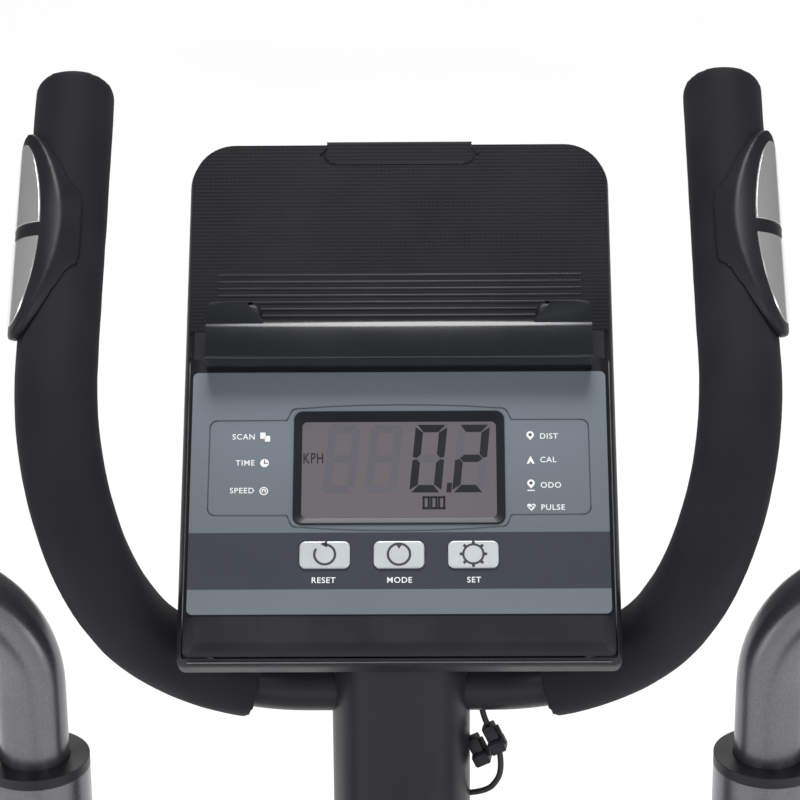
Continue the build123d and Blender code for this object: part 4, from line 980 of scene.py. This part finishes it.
@dataclass
class PulseLead:
    """The thin lead beside the mast, with its connector.

    Attributes:
        route_mm: its points from the crossbar's middle.
        radius_mm: half its thickness.
        length: its real length; not used.
        crossbar_mm: the crossbar's middle from the console's lower edge.
        second_mm: shift of the second pair of connector bodies.
    """

    route_mm: tuple[Point3, ...] = (
        (36.6, 0.0, -13.2), (37.6, -1.0, -19.6), (41.0, -2.0, -27.0), (45.4, -2.5, -36.0),
        (46.2, -1.5, -46.0), (44.8, 0.5, -52.5), (39.6, 2.5, -59.3), (30.6, 2.5, -60.0))
    radius_mm: float = 1.4
    length: float = 0.0588
    crossbar_mm: Point3 = (0.0, 65.5, -29.8)
    second_mm: Point3 = (-7.2, 0.4, -6.0)

    def build(self) -> None:
        """The lead, and its two-part connector round the straight run."""
        crossbar = FACE.origin + mm(*self.crossbar_mm)
        points = [crossbar + mm(*point) for point in self.route_mm]
        line = bpy.data.curves.new("pulse_lead_line", "CURVE")
        line.dimensions = "3D"
        spline = line.splines.new("NURBS")
        spline.points.add(len(points) - 1)
        for point, place in zip(spline.points, points):
            point.co = (*place, 1)
        spline.order_u = 3
        spline.use_endpoint_u = True
        line.bevel_depth = self.radius_mm * MM
        line.bevel_resolution = 5
        line.resolution_u = 12
        line.use_fill_caps = True
        line.materials.append(Finishes.BELT_RUBBER.material)
        lead = linked("pulse_lead_cable", line)
        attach(lead, "frame")
        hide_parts("pulse_lead")
        connector = self.connector(points[2], points[3])

    def connector(self, start: Vector, end: Vector) -> Piece:
        """Plug and socket bodies with a latch, and a second, folded pair beside them."""
        plug = Piece.block("lead_connector_body", mm(7.6, 5.8, 7.4), mm(0, 0, -4.2)).rounded(0.7 * MM, 2)
        parts = [((8.8, 6.8, 6.4), (0, 0, 2.8)), ((3.2, 1.5, 9.5), (0, 3.6, -1.0)),
                 ((1.0, 6.0, 1.0), (0, 0.6, -0.4)), ((1.2, 7.4, 5.0), (-4.4, 0, 2.8)),
                 ((1.2, 7.4, 5.0), (4.4, 0, 2.8))]
        plug.joined([Piece.block("lead_connector_part", mm(*size), mm(*place)).rounded(0.4 * MM, 2)
                     for size, place in parts])
        turn = (end - start).normalized().to_track_quat("Z", "Y").to_matrix().to_4x4()
        middle = (start + end) / 2
        second = plug.copied("lead_connector_second")
        plug.placed(Matrix.Translation(middle) @ turn)
        second.placed(Matrix.Translation(middle + mm(*self.second_mm)) @ turn)
        plug.joined([second]).finished(Finishes.BLACK_PLASTIC, "frame", "black_plastic")
        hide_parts("lead_connector")
        return plug


# ---- lower machine ----
def along_x(side: int, x: float, y: float, z: float) -> Matrix:
    """Place for a turned piece whose axis points out along X."""
    return Matrix.Translation((side * x, y, z)) @ Matrix.Rotation(side * math.pi / 2, 4, "Y")


@dataclass
class DriveTrim:
    """Trim of the drive's housing: crank boots, screws and louvres.

    Attributes:
        boot_mm: profile of the crank boot, radius and height.
        screw_mm: profile of a screw head.
        screws_mm: places of the screws from the crank axle, back and up.
        slats: louvres on each side.
        lean: degrees that the louvres lean.
    """

    boot_mm: tuple[Point2, ...] = ((46, 1.5), (43, 4.0), (34, 5.0), (33, 8.0), (26, 10.0), (24, 10.0))
    screw_mm: tuple[Point2, ...] = ((5, 1.2), (4, 2.0), (2.4, 2.0), (2.4, 0.9))
    screws_mm: tuple[Point2, ...] = ((110, 60), (-230, -10), (-90, -140), (60, -170), (-285, -125))
    slats: int = 6
    lean: float = -18

    def build(self) -> None:
        """Both sides of the housing."""
        axle_low, axle_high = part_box("crank_axle")
        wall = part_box("housing_right")[1].x
        _, y, z = (axle_low + axle_high) / 2
        for side, word in SIDES:
            boot = Piece.disc(f"crank_boot_{word}", self.boot_mm[0][0] * MM, 96).turned(scaled(self.boot_mm))
            boot.rounded(0.5 * MM, 2, 25).placed(along_x(side, wall - 0.4 * MM, y, z))
            boot.finished(Finishes.BLACK_PLASTIC, "frame", "black_plastic")
            screws = [Piece.disc("housing_screws", self.screw_mm[0][0] * MM, 32).turned(
                scaled(self.screw_mm)).placed(along_x(side, wall - 0.6 * MM, y + back * MM, z + up * MM))
                for back, up in self.screws_mm]
            Piece.merged(f"housing_screws_{word}", screws).finished(
                Finishes.BRIGHT_STEEL, "frame", "bright_steel")
            self.louvres(word, Vector((side * wall, y, z)))

    def louvres(self, word: str, axle: Vector) -> None:
        """Slanted louvres beside the flywheel, longest in the middle."""
        tilt = Matrix.Rotation(math.radians(self.lean), 4, "X")
        slats = []
        for i in range(self.slats):
            length = 86.0 - 7.0 * abs(i - (self.slats - 1) / 2)
            slat = Piece.block("housing_louvres", mm(2.4, 7.0, length), Vector()).rounded(1.1 * MM, 3)
            slats.append(slat.placed(Matrix.Translation(axle + mm(0, -235 + 15 * i, -105)) @ tilt))
        Piece.merged(f"housing_louvres_{word}", slats).finished(
            Finishes.SATIN_PLASTIC, "frame", "black_plastic")


@dataclass
class PedalTreads:
    """Raised treads of the pedals.

    Attributes:
        rows: how many treads run along the pedal between its ribs.
        columns: how many lie across it.
        tread_mm: profile of a tread, radius and height.
        pitch_mm: distance between them, across and along.
        crank_mm: length of the crank, which sets the foot bars' slope.
        bar_mm: length of a foot bar between its pivots.
    """

    rows: int = 8
    columns: int = 7
    tread_mm: tuple[Point2, ...] = ((5.2, 0.7), (3.8, 1.9), (2.0, 2.1))
    pitch_mm: Point2 = (16.0, 32.0)
    crank_mm: float = 125.0
    bar_mm: float = 800.0

    def build(self) -> None:
        """Treads between the moulded ribs, square to the sloped foot plate."""
        for side, word in SIDES:
            low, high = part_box(f"pedal_{word}")
            slope = math.asin(self.crank_mm / self.bar_mm) * side
            treads = []
            for row in range(self.rows):
                for column in range(self.columns):
                    tread = Piece.disc("pedal_treads", self.tread_mm[0][0] * MM, 20).turned(
                        scaled(self.tread_mm))
                    across = (column - (self.columns - 1) / 2) * self.pitch_mm[0]
                    along = (row - (self.rows - 1) / 2) * self.pitch_mm[1]
                    treads.append(tread.placed(Matrix.Translation(mm(across, along, -3.2))))
            grip = Piece.merged(f"pedal_treads_{word}", treads)
            grip.placed(Matrix.Translation((low + high) / 2) @ Matrix.Rotation(slope, 4, "X"))
            grip.finished(Finishes.BELT_RUBBER, f"{word}_foot", "pedal_plastic")


@dataclass
class PivotTrim:
    """Domed caps on the pivots, and hub caps on the wheels.

    Attributes:
        cap_mm: profile of a cap, radius and height.
        boss_mm: radius of the link's boss, which places the lower caps.
        sunk_mm: how deep an outer cap sits on its pivot.
    """

    cap_mm: tuple[Point2, ...] = ((15.5, 3.0), (14.0, 6.0), (9.5, 7.6), (4.0, 8.2))
    boss_mm: float = 15.0
    sunk_mm: float = 4.5

    def build(self) -> None:
        """Caps of the arm axle, link bolts and wheels."""
        for side, word in SIDES:
            self.cap(f"arm_axle_cap_{word}", "arm_axle", side, "frame", 1.0)
            self.cap(f"link_cap_{word}", f"arm_hardware_{word}", side, f"{word}_arm", 0.95, low_end=True)
            self.cap(f"wheel_hub_{word}", f"wheel_{word}", side, f"{word}_wheel", 0.62, outward=False)

    def cap(self, name: str, node: str, side: int, body: str, scale: float, low_end: bool = False,
            outward: bool = True) -> None:
        """A domed cap on the end of a node.

        Args:
            name: the cap's name.
            node: the CAD node that it closes.
            side: 1 on the right, -1 on the left.
            body: the CAD body that it moves with.
            scale: size of the cap.
            low_end: whether the cap's axis is near the node's lower end, not at its middle.
            outward: whether it faces away from the machine's middle.
        """
        low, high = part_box(node)
        y, z = (low.y + high.y) / 2, (low.z + high.z) / 2
        if low_end:
            y, z = high.y - self.boss_mm * MM, low.z + self.boss_mm * MM
        reach = max(abs(low.x), abs(high.x)) if outward else min(abs(low.x), abs(high.x))
        cap = Piece.disc(name, self.cap_mm[0][0] * scale * MM, 48).turned(scaled(self.cap_mm, MM * scale))
        cap.rounded(0.4 * MM, 2, 20)
        facing = side if outward else -side
        lift = -self.sunk_mm * MM if outward else 0.2 * MM
        cap.placed(Matrix.Translation((side * reach + facing * lift, y, z))
                   @ Matrix.Rotation(facing * math.pi / 2, 4, "Y"))
        cap.finished(Finishes.BLACK_PLASTIC, body, "black_plastic")


@dataclass
class KnobDial:
    """Pointer on the tension knob.

    Attributes:
        lean: degrees that the knob's axis leans down from level.
    """

    lean: float = 2.5

    def build(self) -> None:
        """A white line on the knob's cap."""
        low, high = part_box("tension_knob")
        sine, cosine = math.sin(math.radians(self.lean)), math.cos(math.radians(self.lean))
        out = Vector((0, -cosine, -sine))
        cap = Vector((0, low.y, (low.z + high.z) / 2))
        turn = Matrix(((1, 0, 0, 0), (0, -sine, out.y, 0), (0, cosine, out.z, 0), (0, 0, 0, 1)))
        pointer = Piece.sheet("knob_pointer", [rounded_box(-1.0, 1.0, 6.0, 16.5, 0.9, 3)], 0, 0.4)
        pointer.placed(Matrix.Translation(cap - out * 0.1 * MM) @ turn)
        pointer.finished(Finishes.WHITE_INK, "knob", "black_plastic", 25)


# ---- studio ----
@dataclass
class Studio:
    """Pale floor, soft lights and the camera.

    Attributes:
        place: camera from the middle of the console's lower edge.
        pitch: degrees that the camera looks down.
        turn: degrees that it is turned to the left.
        roll: degrees that it leans.
        lens: focal length in millimetres on a 36 mm sensor.
        daylight: strength of the light from straight above.
        surround: strength of the light from all round.
    """

    place: Point3 = (0.0154, -1.1327, 0.4130)
    pitch: float = 14.62
    turn: float = 0.713
    roll: float = -0.434
    lens: float = 124.2
    daylight: float = 2.95
    surround: float = 0.15

    def build(self) -> None:
        """Everything round the machine."""
        self.floor()
        self.world()
        self.lights()
        self.camera()

    def floor(self) -> None:
        """A wide, plain, pale floor."""
        bpy.ops.mesh.primitive_plane_add(size=60, location=(0, 0, 0))
        floor = bpy.context.active_object
        floor.name = "studio_floor"
        finish = Finish("studio_floor_paint", (0.96, 0.96, 0.965), (0.7, 0.8), grain=30, depth=0.0001,
                        mottle=0.005, edge=0.0)
        floor.data.materials.append(finish.material())

    def world(self) -> None:
        """Soft light from all round, white behind the machine."""
        world = bpy.data.worlds.new("studio_world")
        bpy.context.scene.world = world
        world.use_nodes = True
        nodes, links = world.node_tree.nodes, world.node_tree.links
        background = nodes["Background"]
        seen = nodes.new("ShaderNodeLightPath").outputs["Is Camera Ray"]
        level = nodes.new("ShaderNodeMapRange")
        level.inputs["To Min"].default_value = self.surround
        level.inputs["To Max"].default_value = 1.0
        links.new(seen, level.inputs["Value"])
        background.inputs["Color"].default_value = (1, 1, 1, 1)
        links.new(level.outputs["Result"], background.inputs["Strength"])

    def lights(self) -> None:
        """Strips and softboxes on both sides, one softbox behind, and soft light from above."""
        for side, word in reversed(SIDES):
            self.softbox(f"{word}_strip", (side * 1.9, -0.2, 1.6), (0.0, 0.4, 1.2), (0.4, 2.4), 7)
            self.softbox(f"{word}_key", (side * 1.5, -1.7, 1.9), (0.0, 0.4, 1.2), (1.0, 1.0), 14)
        self.softbox("back_box", (0.0, 2.9, 2.9), (0.0, 0.45, 1.3), (2.0, 0.5), 14)
        sun = bpy.data.lights.new("daylight", "SUN")
        sun.energy = self.daylight
        sun.angle = math.radians(30)
        linked("daylight", sun)

    def softbox(self, name: str, place: Sequence[float], target: Sequence[float],
                size: Point2, watts: float) -> None:
        """A rectangular area light aimed at a point."""
        light = bpy.data.lights.new(name, "AREA")
        light.shape = "RECTANGLE"
        light.size, light.size_y = size
        light.energy = watts
        holder = linked(name, light)
        aim = Vector(target) - Vector(place)
        holder.matrix_world = Matrix.Translation(place) @ aim.to_track_quat("-Z", "Y").to_matrix().to_4x4()

    def camera(self) -> None:
        """The camera, on the console from the user's side."""
        place = FACE.origin + Vector(self.place)
        data = bpy.data.cameras.new("user_view")
        data.lens = self.lens
        data.sensor_width = 36.0
        data.clip_start, data.clip_end = 0.05, 100.0
        camera = linked("user_view", data)
        camera.matrix_world = Matrix.Translation(place)
        for degrees, axis in ((self.turn, "Z"), (90 - self.pitch, "X"), (self.roll, "Z")):
            camera.matrix_world @= Matrix.Rotation(math.radians(degrees), 4, axis)
        bpy.context.scene.camera = camera


def dress_frame() -> None:
    """Give every CAD node the finish of its material slot."""
    for subpart in frame["record"]["subparts"]:
        node = frame["nodes"][subpart["node"]]
        slot = subpart["material_slot"]
        finish = Finishes.LCD_BEZEL if slot == "lcd_glass" else Finishes[slot.upper()]
        node.data.materials.clear()
        node.data.materials.append(finish.material)


def main() -> None:
    """Build the looks, piece by piece."""
    logging.basicConfig(level=logging.INFO, format="%(name)s: %(message)s")
    clear_selection()
    dress_frame()
    bpy.context.scene.view_settings.view_transform = "Standard"
    builders = [Studio(), PulseLead(), Display(), Overlay(), Keys(), Rack(), ConsoleTrim(),
                *(FoamSleeve(f"foam_grip_{side}", "frame") for side in ("right", "left")),
                *(FoamSleeve(f"arm_grip_{side}", f"{side}_arm") for side in ("right", "left")),
                PulseSensors(), DriveTrim(), PedalTreads(), PivotTrim(), KnobDial()]
    for builder in builders:
        builder.build()
        LOG.info("built %s", type(builder).__name__)


if __name__ == "__main__":
    main()
